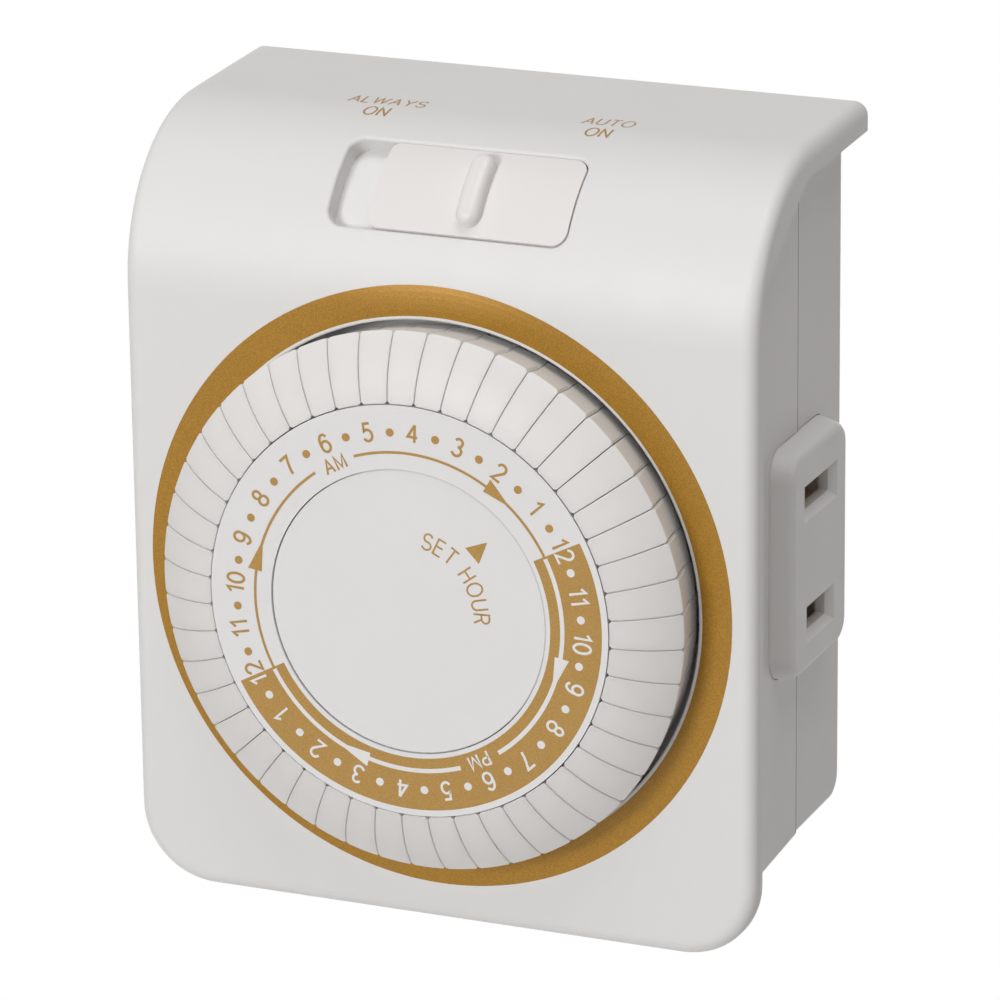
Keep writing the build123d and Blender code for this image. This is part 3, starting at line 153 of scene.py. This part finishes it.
camera_data = bpy.data.cameras.new("camera")
camera_data.lens = CAMERA_LENS
camera_data.sensor_width = SENSOR_WIDTH
camera_data.clip_start = NEAREST_SEEN
camera = bpy.data.objects.new("camera", camera_data)
camera.location = CAMERA_PLACE
camera.rotation_euler = [radians(turn) for turn in CAMERA_TURN]
scene.collection.objects.link(camera)
scene.camera = camera

# ---------------------------------------------------------------- case: cover, shells and outlet
# The cover, the two housing shells and the outlet's face are moulded in warm white plastic. The
# tools leave a very fine spark-eroded grain that breaks up the soft gloss.
MM = 0.001
CASE_COLOUR = (0.770, 0.765, 0.757)
CASE_ROUGHNESS = 0.50
CASE_GRAIN = 0.22 * MM
GRAIN_HEIGHT = 0.06 * MM
GRAIN_STRENGTH = 0.10
UNEVEN_SIZE = 4 * MM        # patches that are a little duller or glossier
UNEVEN_GLOSS = 0.10         # roughness from the glossiest patch to the dullest
FLOW_SIZE = 12 * MM         # marks that the plastic leaves where it flowed
FLOW_SHADE = 0.98
FLOW_FINER = (1, 1, 0.5)    # the marks are twice as long up and down


class Finish(Shader):
    """One material whose shader changes over the surface."""

    def __init__(self, name, colour, roughness, metallic=0.0):
        self.material = bpy.data.materials.new(name)
        self.material.use_nodes = True
        super().__init__(self.material.node_tree)
        self.set("Base Color", (*colour, 1.0))
        self.set("Roughness", roughness)
        self.set("Metallic", metallic)

    def set(self, name, value):
        self.plug(self.tree.nodes["Principled BSDF"].inputs[name], value)

    def noise(self, size, detail=2.0, finer=(1, 1, 1)):
        """Cloudy noise from 0 to 1. Its blobs are about size across, divided along x, y, z by finer."""
        place = self.node("ShaderNodeTexCoord", {}, {}, "Object")
        scaled = self.node("ShaderNodeVectorMath", {"operation": "MULTIPLY"},
                           {0: place, 1: tuple(share / size for share in finer)})
        return self.node("ShaderNodeTexNoise", {}, {"Vector": scaled, "Scale": 1.0, "Detail": detail}, "Fac")

    def depth(self):
        """Place from front to back."""
        place = self.node("ShaderNodeTexCoord", {}, {}, "Object")
        return self.node("ShaderNodeSeparateXYZ", {}, {"Vector": place}, "Y")

    def steep(self, value, low, high):
        """The same value, spread so that low becomes 0 and high becomes 1."""
        return self.node("ShaderNodeMapRange", {}, {"Value": value, "From Min": low, "From Max": high})

    def tint(self, share, colour_a, colour_b):
        """Base colour between two colours."""
        self.set("Base Color", self.node("ShaderNodeMix", {"data_type": "RGBA"},
                                         {0: share, 6: (*colour_a, 1.0), 7: (*colour_b, 1.0)}, 2))

    def bump(self, height, strength, distance):
        self.set("Normal", self.node("ShaderNodeBump", {},
                                     {"Height": height, "Strength": strength, "Distance": distance}))

    def cover(self, *names):
        for name in names:
            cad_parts[name].data.materials.clear()
            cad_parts[name].data.materials.append(self.material)


def shade(colour, share):
    return tuple(c * share for c in colour)


def grained_plastic(name, colour, roughness, grain=CASE_GRAIN):
    """Plastic of one colour with a fine grain and slightly uneven gloss."""
    plastic = Finish(name, colour, roughness)
    plastic.set("Roughness", roughness - UNEVEN_GLOSS / 2 + UNEVEN_GLOSS * plastic.noise(UNEVEN_SIZE))
    plastic.bump(plastic.noise(grain, 3.0), GRAIN_STRENGTH, GRAIN_HEIGHT)
    return plastic


def moulded_plastic(name, colour, roughness):
    """Grained plastic with faint flow marks."""
    plastic = grained_plastic(name, colour, roughness)
    plastic.tint(plastic.noise(FLOW_SIZE, 3.0, FLOW_FINER), shade(colour, FLOW_SHADE), colour)
    return plastic


moulded_plastic("case_plastic", CASE_COLOUR, CASE_ROUGHNESS).cover(
    "front_cover", "rear_housing", "outlet_face")

# ---------------------------------------------------------------- seam between the two shells
# The front shell ends in a sharp edge at the parting plane. Along it a thin dark line is painted
# into its colour: painted shade of the groove between the shells, which the touching solids lack.
SEAM_Y = -13.0 * MM
SEAM_LINE = 0.26 * MM
SEAM_FADE = 0.4 * SEAM_LINE     # the part of the line over which it grows dark
SEAM_SHADE = 0.42

shell_plastic = grained_plastic("shell_plastic", CASE_COLOUR, CASE_ROUGHNESS)
seam_front = SEAM_Y - SEAM_LINE
# the thin line of painted shade along the parting plane
painted_seam_shade = shell_plastic.steep(shell_plastic.depth(), seam_front, seam_front + SEAM_FADE)
shell_plastic.tint(painted_seam_shade, CASE_COLOUR, shade(CASE_COLOUR, SEAM_SHADE))
shell_plastic.cover("front_housing")

# ---------------------------------------------------------------- gold ring round the dial
# A ring of gold ink is pad-printed on the cover round the dial's well. At the top it runs on to
# the start of the roll. Fine metal flakes in the ink vary its gloss and bumps, so that it sparkles
# where it faces the lamps. Their glints are also painted into its colour as lighter and darker specks.
FACE_Y = -31.5 * MM
DIAL_Z = -2.0 * MM
ROLL_START = 27.9 * MM      # height above the dial's axis at which the face starts to roll back
ROLL_RADIUS = 16.4 * MM
INK_THICKNESS = 0.012 * MM
INK_LAYER = 0.001 * MM      # from one stroke to the next, so that no two lie in one plane
INK_LAYERS = 4
RING_INNER = 27.93 * MM
RING_OUTER = 31.0 * MM
RING_STEPS = 240
RING_CUTS = 5
RING_GOLD = (0.375, 0.188, 0.016)
GOLD_METAL = 0.25
GOLD_ROUGHNESS = 0.36
GOLD_DARK = 0.78
GOLD_LIGHT = 1.22
VARNISH = 0.7               # the clear binder over the flakes
VARNISH_ROUGHNESS = 0.32
FLAKE = 0.11 * MM
FLAKE_HEIGHT = 0.04 * MM
FLAKE_STRENGTH = 0.14
FLAKE_GLOSS = 0.16          # roughness from the glossiest flake to the dullest
FLAKE_LOW = 0.34            # noise below which a flake has no painted glint
FLAKE_HIGH = 0.68           # noise above which its painted glint is full
PAINTED_GLINT_SHARE = 0.75        # of the tint given to the painted glints, the rest being broad clouds
CLOUD = 5 * MM


def gold_ink(name, gold):
    ink = Finish(name, gold, GOLD_ROUGHNESS, GOLD_METAL)
    flakes = ink.noise(FLAKE, 1.0)
    # lighter and darker specks at the flakes: painted glints
    painted_glint = ink.steep(flakes, FLAKE_LOW, FLAKE_HIGH)
    ink.tint(PAINTED_GLINT_SHARE * painted_glint + (1 - PAINTED_GLINT_SHARE) * ink.noise(CLOUD),
             shade(gold, GOLD_DARK), shade(gold, GOLD_LIGHT))
    ink.set("Roughness", GOLD_ROUGHNESS - FLAKE_GLOSS / 2 + FLAKE_GLOSS * flakes)
    ink.set("Specular IOR Level", 0.0)
    ink.set("Coat Weight", VARNISH)
    ink.set("Coat Roughness", VARNISH_ROUGHNESS)
    ink.bump(flakes, FLAKE_STRENGTH, FLAKE_HEIGHT)
    return ink


class Print:
    """Ink of one colour. spot() gives the place of a flat point, across, up and out from the surface."""

    def __init__(self, spot, thickness, longest=None):
        self.spot = spot
        self.thickness = thickness
        self.longest = longest
        self.strokes = 0
        self.points = []
        self.faces = []

    def put(self, flat_points):
        """Add the points of one stroke."""
        self.strokes += 1
        out = self.thickness + self.strokes % INK_LAYERS * INK_LAYER
        self.points += [self.spot(across, up, out) for across, up in flat_points]

    def patch(self, outline):
        """A small flat patch, its outline run round against the clock."""
        self.faces.append(range(len(self.points), len(self.points) + len(outline)))
        self.put(outline)

    def sheet(self, rows):
        """Ink between rows of points, each row run from left to right of the way on to the next."""
        first = len(self.points)
        wide = len(rows[0])
        self.put([point for row in rows for point in row])
        for r in range(len(rows) - 1):
            for c in range(wide - 1):
                corner = first + r * wide + c
                self.faces.append((corner, corner + 1, corner + wide + 1, corner + wide))

    def line(self, path, pen):
        """A line of one width, mitred at its corners, and closed where its path is."""
        path = [Vector(point) for point in path]
        closed = (path[0] - path[-1]).length < SAME_PLACE
        if self.longest:
            path = split(path, self.longest)
        steps = [(b - a).normalized() for a, b in zip(path, path[1:])]
        rows = []
        for i, point in enumerate(path):
            before = steps[i - 1] if i or closed else steps[0]
            after = steps[i] if i < len(steps) else (steps[0] if closed else steps[-1])
            way = (before + after).normalized()
            side = Vector((-way.y, way.x)) * pen / 2 / max(way.dot(after), MITRE_LIMIT)
            rows.append((point + side, point - side))
        self.sheet(rows)

    def lay(self, name, ink, body):
        mesh = bpy.data.meshes.new(name)
        mesh.from_pydata(self.points, [], self.faces)
        mesh.validate()
        mesh.materials.append(ink.material)
        piece = bpy.data.objects.new(name, mesh)
        scene.collection.objects.link(piece)
        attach(piece, body)


MITRE_LIMIT = 0.5
SAME_PLACE = 1e-7


def split(path, longest):
    """The same path with points added, so that no stretch is longer than longest."""
    finer = [path[0]]
    for a, b in zip(path, path[1:]):
        cuts = ceil((b - a).length / longest)
        finer += [a.lerp(b, (i + 1) / cuts) for i in range(cuts)]
    return finer


def turned(radius, angle):
    """Flat point at a radius and an angle in degrees, counted up from the right."""
    return (radius * cos(radians(angle)), radius * sin(radians(angle)))


def cover_spot(across, up, out):
    """Place on the cover's front, up being the height above the dial's axis: on the face or the roll."""
    if up <= ROLL_START:
        return (across, FACE_Y - out, DIAL_Z + up)
    climb = asin((up - ROLL_START) / ROLL_RADIUS)
    reach = ROLL_RADIUS + out
    return (across, FACE_Y + ROLL_RADIUS - reach * cos(climb), DIAL_Z + ROLL_START + reach * sin(climb))


ring_gold = gold_ink("ring_gold", RING_GOLD)
surround = Print(cover_spot, INK_THICKNESS)
surround.sheet([[turned(RING_OUTER + (RING_INNER - RING_OUTER) * cut / RING_CUTS, -360 * step / RING_STEPS)
                 for cut in range(RING_CUTS + 1)] for step in range(RING_STEPS + 1)])
surround.lay("dial_surround_print", ring_gold, "case")

# ---------------------------------------------------------------- words printed over the switch
# Two short words stand over each end of the switch, in thin gold capitals that follow the roll.
# The capitals and figures of the whole timer are plain strokes of one even width.
ROOF_RISE = 2.0             # degrees by which the roof climbs towards the back, past the roll
LABELS = [("ALWAYS", -11.8, 26.2), ("ON", -11.8, 23.2), ("AUTO", 11.8, 26.2), ("ON", 11.8, 23.2)]
LABEL_HEIGHT = 2.1 * MM
LABEL_PEN = 0.20 * MM
LABEL_NARROW = 0.82
LETTER_GAP = 0.13
CLOSE_STEP = 0.5 * MM       # longest straight stretch of ink that still follows the roll
BOW_STEP = 15               # degrees from one point of a curved stroke to the next


def bow(across, up, half_width, half_height, start=90, end=450):
    """Points along an ellipse from one angle to another in degrees, by default all round it."""
    steps = ceil(abs(end - start) / BOW_STEP)
    angles = [radians(start + (end - start) * i / steps) for i in range(steps + 1)]
    return [(across + half_width * cos(a), up + half_height * sin(a)) for a in angles]


SIX = [bow(0.29, 0.52, 0.28, 0.48, 40, 180) + [(0.01, 0.31)], bow(0.27, 0.31, 0.26, 0.31)]
# Each letter is its width and its strokes, as centre lines for a height of 1.
LETTERS = {
    "0": (0.54, [bow(0.27, 0.5, 0.27, 0.5)]),
    "1": (0.28, [[(0.02, 0.76), (0.27, 1), (0.27, 0)]]),
    "2": (0.54, [bow(0.27, 0.73, 0.26, 0.27, 170, -40) + [(0, 0), (0.54, 0)]]),
    "3": (0.53, [bow(0.26, 0.76, 0.22, 0.24, 155, -90), bow(0.26, 0.27, 0.27, 0.27, 90, -160)]),
    "4": (0.56, [[(0.40, 0), (0.40, 1)], [(0.40, 1), (0, 0.30), (0.56, 0.30)]]),
    "5": (0.52, [[(0.48, 1), (0.12, 1), (0.07, 0.57)] + bow(0.25, 0.33, 0.27, 0.32, 125, -150)]),
    "6": (0.55, SIX),
    "7": (0.54, [[(0, 1), (0.54, 1), (0.36, 0.62), (0.24, 0.3), (0.18, 0)]]),
    "8": (0.54, [bow(0.27, 0.76, 0.21, 0.24), bow(0.27, 0.27, 0.27, 0.27)]),
    "9": (0.55, [[(0.54 - x, 1 - y) for x, y in stroke] for stroke in SIX]),
    "A": (0.68, [[(0, 0), (0.34, 1), (0.68, 0)], [(0.12, 0.36), (0.56, 0.36)]]),
    "E": (0.50, [[(0.5, 1), (0, 1), (0, 0), (0.5, 0)], [(0, 0.53), (0.46, 0.53)]]),
    "H": (0.58, [[(0, 0), (0, 1)], [(0.58, 0), (0.58, 1)], [(0, 0.53), (0.58, 0.53)]]),
    "L": (0.48, [[(0, 1), (0, 0), (0.48, 0)]]),
    "M": (0.72, [[(0, 0), (0, 1), (0.36, 0.12), (0.72, 1), (0.72, 0)]]),
    "N": (0.58, [[(0, 0), (0, 1), (0.58, 0), (0.58, 1)]]),
    "O": (0.76, [bow(0.38, 0.5, 0.38, 0.5)]),
    "P": (0.54, [[(0, 0), (0, 1)] + bow(0.28, 0.74, 0.26, 0.26, 90, -90) + [(0, 0.48)]]),
    "R": (0.54, [[(0, 0), (0, 1)] + bow(0.28, 0.75, 0.25, 0.25, 90, -90) + [(0, 0.5)],
                 [(0.30, 0.5), (0.54, 0)]]),
    "S": (0.57, [bow(0.29, 0.75, 0.26, 0.25, 20, 270) + bow(0.29, 0.25, 0.28, 0.25, 75, -160)]),
    "T": (0.60, [[(0, 1), (0.6, 1)], [(0.3, 1), (0.3, 0)]]),
    "U": (0.58, [[(0, 1)] + bow(0.29, 0.3, 0.29, 0.3, 180, 360) + [(0.58, 1)]]),
    "W": (0.96, [[(0, 1), (0.24, 0), (0.48, 1), (0.72, 0), (0.96, 1)]]),
    "Y": (0.66, [[(0, 1), (0.33, 0.45), (0.66, 1)], [(0.33, 0.45), (0.33, 0)]]),
    " ": (0.30, []),
}


def write(ink, text, height, pen, centre, lean=0.0, narrow=1.0):
    """Draw a word about a flat point, turned by lean degrees; height includes the pen's width."""
    size = height - pen
    gap = LETTER_GAP + pen / size
    length = sum(LETTERS[letter][0] + gap for letter in text) - gap
    left = -length / 2
    for letter in text:
        width, strokes = LETTERS[letter]
        for stroke in strokes:
            path = []
            for x, y in stroke:
                x, y = (x + left) * size * narrow, (y - 0.5) * size
                shift = turned(x, lean), turned(y, lean + 90)
                path.append((centre[0] + shift[0][0] + shift[1][0], centre[1] + shift[0][1] + shift[1][1]))
            ink.line(path, pen)
        left += width + gap


def roll_spot(across, along, out):
    """Place on the cover's top, along being the way up from where the face starts to roll back."""
    top = radians(90 - ROOF_RISE)
    turn = min(along / ROLL_RADIUS, top)
    past = along - turn * ROLL_RADIUS
    reach = ROLL_RADIUS + out
    return (across, FACE_Y + ROLL_RADIUS - reach * cos(turn) + past * sin(turn),
            DIAL_Z + ROLL_START + reach * sin(turn) + past * cos(turn))


labels = Print(roll_spot, INK_THICKNESS, CLOSE_STEP)
for text, across, along in LABELS:
    write(labels, text, LABEL_HEIGHT, LABEL_PEN, (across * MM, along * MM), narrow=LABEL_NARROW)
labels.lay("switch_labels", ring_gold, "case")

# ---------------------------------------------------------------- mode switch
# A white slider, curved like the roll, with a round rib for the thumb. It is a separate moulding
# in a slightly warmer and smoother plastic than the cover.
SWITCH_COLOUR = (0.800, 0.775, 0.762)
SWITCH_ROUGHNESS = 0.38

moulded_plastic("switch_plastic", SWITCH_COLOUR, SWITCH_ROUGHNESS).cover("mode_slider")

# ---------------------------------------------------------------- trippers
# The 48 trippers are small mouldings of their own, from a tool with many cavities, so their white
# differs a little from one to the next. Their grain is coarser than that of the case, and some of
# the light scatters under their skin.
TRIPPER_COLOUR = (0.786, 0.771, 0.756)
TRIPPER_SHADE = 0.965       # of the darkest trippers
TRIPPER_CLOUD = 5 * MM
TRIPPER_GRAIN = 0.30 * MM
TRIPPER_GLOW = 0.6          # share of the light that scatters under the skin
TRIPPER_SCATTER = 1.0 * MM

tripper_plastic = grained_plastic("tripper_plastic", TRIPPER_COLOUR, CASE_ROUGHNESS, TRIPPER_GRAIN)
tripper_plastic.tint(tripper_plastic.noise(TRIPPER_CLOUD, 1.0),
                     shade(TRIPPER_COLOUR, TRIPPER_SHADE), TRIPPER_COLOUR)
tripper_plastic.set("Subsurface Weight", TRIPPER_GLOW)
tripper_plastic.set("Subsurface Radius", (1.0, 1.0, 1.0))
tripper_plastic.set("Subsurface Scale", TRIPPER_SCATTER)
tripper_plastic.cover(*[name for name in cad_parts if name.startswith("tripper_")])

# ---------------------------------------------------------------- dial
# The number ring is white. The half of it for the afternoon and night is printed gold round white
# figures, the morning half has gold figures. Thin arrows show the way that the dial turns.
DIAL_GOLD = (0.44, 0.255, 0.065)
DIAL_COLOUR = (0.790, 0.785, 0.785)
DIAL_ROUGHNESS = 0.40
WHITE_INK = (0.800, 0.790, 0.775)
WHITE_INK_ROUGHNESS = 0.42
DIAL_FRONT_Y = FACE_Y - 7.3 * MM
BAND_INNER = 15.03 * MM
BAND_OUTER = 20.40 * MM
MIDNIGHT = 27.3             # angle of its 12, up from the right; the gold runs clockwise to noon
HOUR_TURN = 15
FIGURE_RADIUS = 18.40 * MM
FIGURE_HEIGHT = 2.05 * MM
FIGURE_PEN = 0.27 * MM
DIGIT_TURN = 2.2            # from the middle of a 12 to the middle of either digit
DOT_RADIUS = 18.30 * MM
DOT_SIZE = 0.42 * MM        # half of a dot's width
DOT_SIDES = 20
ARROW_RADIUS = 16.30 * MM
ARROW_PEN = 0.27 * MM
WHITE_ARROW_PEN = 0.45 * MM
HEAD_OUTER = 0.90 * MM
HEAD_INNER = 0.60 * MM
ARC_STEP = 1.5              # degrees from one point of an arc to the next
AM_ANGLE = 117.4
PM_ANGLE = AM_ANGLE - 180
HALF_DAY_RADIUS = 16.15 * MM
HALF_DAY_HEIGHT = 1.60 * MM
HALF_DAY_PEN = 0.22 * MM
OVERPRINT = 0.010 * MM      # second ink over the first

dial_plastic = moulded_plastic("dial_plastic", DIAL_COLOUR, DIAL_ROUGHNESS)
dial_plastic.cover("dial_ring")
white_print = moulded_plastic("white_print", WHITE_INK, WHITE_INK_ROUGHNESS)
dial_gold = gold_ink("dial_gold", DIAL_GOLD)


def flat_spot(front):
    """The flat points of a front at one depth, set out about the dial's axis."""
    return lambda across, up, out: (across, front - out, DIAL_Z + up)


def arc(radius, start, end):
    steps = max(2, ceil(abs(end - start) / ARC_STEP))
    return [turned(radius, start + (end - start) * i / steps) for i in range(steps + 1)]


def arrow(ink, pen, start, end, head, tip):
    """Thin arc from start round to end, with an arrowhead from head to tip."""
    ink.line(arc(ARROW_RADIUS, start, head), pen)
    ink.line(arc(ARROW_RADIUS, tip, end), pen)
    ink.patch([turned(ARROW_RADIUS - HEAD_INNER, head), turned(ARROW_RADIUS - pen / 2, tip),
               turned(ARROW_RADIUS + pen / 2, tip), turned(ARROW_RADIUS + HEAD_OUTER, head)])


def dot(ink, angle):
    across, up = turned(DOT_RADIUS, angle)
    rim = [turned(DOT_SIZE, 360 * i / DOT_SIDES) for i in range(DOT_SIDES)]
    ink.patch([(across + x, up + y) for x, y in rim])


night_half = Print(flat_spot(DIAL_FRONT_Y), INK_THICKNESS)
gold_over = Print(flat_spot(DIAL_FRONT_Y), INK_THICKNESS + OVERPRINT)
white_over = Print(flat_spot(DIAL_FRONT_Y), INK_THICKNESS + OVERPRINT)
night_half.line(arc((BAND_INNER + BAND_OUTER) / 2, MIDNIGHT, MIDNIGHT - 180), BAND_OUTER - BAND_INNER)
for back in range(24):
    # hours back from midnight, which run clockwise
    angle = MIDNIGHT - HOUR_TURN * back
    figure = str(12 - back % 12)
    ink = white_over if back < 12 else gold_over
    if figure == "12":
        # the edge of the gold runs through the middle of both twelves
        left, right = (gold_over, white_over) if back == 0 else (white_over, gold_over)
        write(left, "1", FIGURE_HEIGHT, FIGURE_PEN, turned(FIGURE_RADIUS, angle + DIGIT_TURN), angle - 90)
        write(right, "2", FIGURE_HEIGHT, FIGURE_PEN, turned(FIGURE_RADIUS, angle - DIGIT_TURN), angle - 90)
    else:
        write(ink, figure, FIGURE_HEIGHT, FIGURE_PEN, turned(FIGURE_RADIUS, angle), angle - 90)
    dot(ink, angle - HOUR_TURN / 2)
arrow(gold_over, ARROW_PEN, start=109.3, end=26.6, head=58.6, tip=50.0)
arrow(gold_over, ARROW_PEN, start=208.2, end=125.8, head=171.4, tip=161.9)
arrow(white_over, WHITE_ARROW_PEN, start=26.6, end=-54.5, head=-9.4, tip=-18.0)
arrow(white_over, WHITE_ARROW_PEN, start=-70.5, end=-152.0, head=-105.5, tip=-114.6)
for ink, half_day, angle in ((gold_over, "AM", AM_ANGLE), (white_over, "PM", PM_ANGLE)):
    write(ink, half_day, HALF_DAY_HEIGHT, HALF_DAY_PEN, turned(HALF_DAY_RADIUS, angle), angle - 90)
night_half.lay("night_half_print", dial_gold, "dial")
gold_over.lay("gold_figures", dial_gold, "dial")
white_over.lay("white_figures", white_print, "dial")

# ---------------------------------------------------------------- dial cap
# The round cap in the middle stands still while the dial turns. A gold pointer and two words on it
# show where the time is read.
CAP_FRONT_Y = FACE_Y - 7.15 * MM
POINTER_ANGLE = 44.0
POINTER_TIP = 11.8 * MM
POINTER_BASE = 9.55 * MM
POINTER_WIDTH = 2.06 * MM
CAP_TEXT = "SET HOUR"
CAP_TEXT_RADIUS = 7.8 * MM
CAP_TEXT_HEIGHT = 1.85 * MM
CAP_TEXT_PEN = 0.19 * MM
CAP_TEXT_START = 79.0
CAP_TEXT_GAP = 0.20

dial_plastic.cover("dial_cap")
cap_print = Print(flat_spot(CAP_FRONT_Y), INK_THICKNESS)
base_angle = degrees(atan2(POINTER_WIDTH / 2, POINTER_BASE))
base_radius = sqrt(POINTER_BASE ** 2 + (POINTER_WIDTH / 2) ** 2)
cap_print.patch([turned(POINTER_TIP, POINTER_ANGLE), turned(base_radius, POINTER_ANGLE + base_angle),
                 turned(base_radius, POINTER_ANGLE - base_angle)])
angle = CAP_TEXT_START
for letter in CAP_TEXT:
    half_turn = degrees((LETTERS[letter][0] + CAP_TEXT_GAP) * CAP_TEXT_HEIGHT / 2 / CAP_TEXT_RADIUS)
    angle -= half_turn
    write(cap_print, letter, CAP_TEXT_HEIGHT, CAP_TEXT_PEN, turned(CAP_TEXT_RADIUS, angle), angle - 90)
    angle -= half_turn
cap_print.lay("cap_print", dial_gold, "case")

# ---------------------------------------------------------------- metal pieces
# Plug blades are nickel-plated brass. The contacts, their clamp and the motor's pinion are bare
# brass. Screws, pins, the gear plate and the motor's case are zinc-plated steel, springs bright steel.
NICKEL = (0.74, 0.70, 0.60)
BRASS = (0.72, 0.52, 0.24)
ZINC = (0.60, 0.60, 0.58)
SPRING_STEEL = (0.52, 0.52, 0.52)
DRAWN_LINE = 0.6 * MM       # length of a line
LINE_FINENESS = 12          # its length over its width
LINE_HEIGHT = 0.03 * MM
LINE_STRENGTH = 0.08
LINE_GLOSS = 0.16           # roughness from the glossiest line to the dullest
STAIN = 5 * MM
STAIN_SHADE = 0.88


def drawn_metal(name, colour, roughness, finer=(1, LINE_FINENESS, 1)):
    """Metal with the fine lines of drawing or blanking and a faint stain."""
    metal = Finish(name, colour, roughness, 1.0)
    lines = metal.noise(DRAWN_LINE, 3.0, finer)
    metal.tint(metal.noise(STAIN), shade(colour, STAIN_SHADE), colour)
    metal.set("Roughness", roughness - LINE_GLOSS / 2 + LINE_GLOSS * lines)
    metal.bump(lines, LINE_STRENGTH, LINE_HEIGHT)
    return metal


drawn_metal("blade_metal", NICKEL, roughness=0.30, finer=(LINE_FINENESS, 1, LINE_FINENESS)).cover(
    "hot_blade", "neutral_blade")
drawn_metal("brass", BRASS, roughness=0.32).cover(
    "hot_contact", "neutral_contact", "moving_contact", "leaf_clamp", "fixed_contact", "motor_pinion")
drawn_metal("zinc_steel", ZINC, roughness=0.38).cover(
    "housing_screws", "gear_plate", "gear_pins", "motor_cup", "motor_lid", "motor_screws", "lever_pin")
drawn_metal("spring_steel", SPRING_STEEL, roughness=0.26).cover(
    "clutch_spring", "hub_clip", "detent_spring")

# ---------------------------------------------------------------- works
# Gears, stud, lever, carriage and bobbin are natural acetal and the switch's base is dark phenolic.
# The motor's winding is enamelled copper wire, and its rotor a ferrite magnet.
ACETAL = (0.72, 0.70, 0.63)
PHENOLIC = (0.085, 0.045, 0.028)
FERRITE = (0.045, 0.045, 0.048)
COPPER = (0.50, 0.18, 0.07)
COPPER_METAL = 0.8          # the enamel over the wire takes some of its shine
# painted shade in the hollows between the strands, and painted sheen on their crowns
COPPER_PAINTED_SHADE = 0.6
COPPER_PAINTED_SHEEN = 1.3
COPPER_ROUGHNESS = 0.35
STRAND_LENGTH = 0.4 * MM
STRAND_FINER = (1, 6, 1)    # the strands are a sixth as wide as they are long
STRAND_HEIGHT = 0.1 * MM
STRAND_STRENGTH = 0.5

moulded_plastic("acetal", ACETAL, roughness=0.45).cover(
    "dial_gear", "first_wheel", "second_wheel", "centre_stud", "switch_lever", "coil_bobbin",
    "slider_carriage")
moulded_plastic("phenolic", PHENOLIC, roughness=0.5).cover("switch_base")
moulded_plastic("ferrite", FERRITE, roughness=0.55).cover("motor_rotor")
winding = Finish("copper_winding", COPPER, COPPER_ROUGHNESS, COPPER_METAL)
strands = winding.noise(STRAND_LENGTH, 1.0, STRAND_FINER)
# colour painted darker where the strands are low and lighter where they are high: painted shade and sheen
winding.tint(strands, shade(COPPER, COPPER_PAINTED_SHADE), shade(COPPER, COPPER_PAINTED_SHEEN))
winding.bump(strands, STRAND_STRENGTH, STRAND_HEIGHT)
winding.cover("coil_winding")
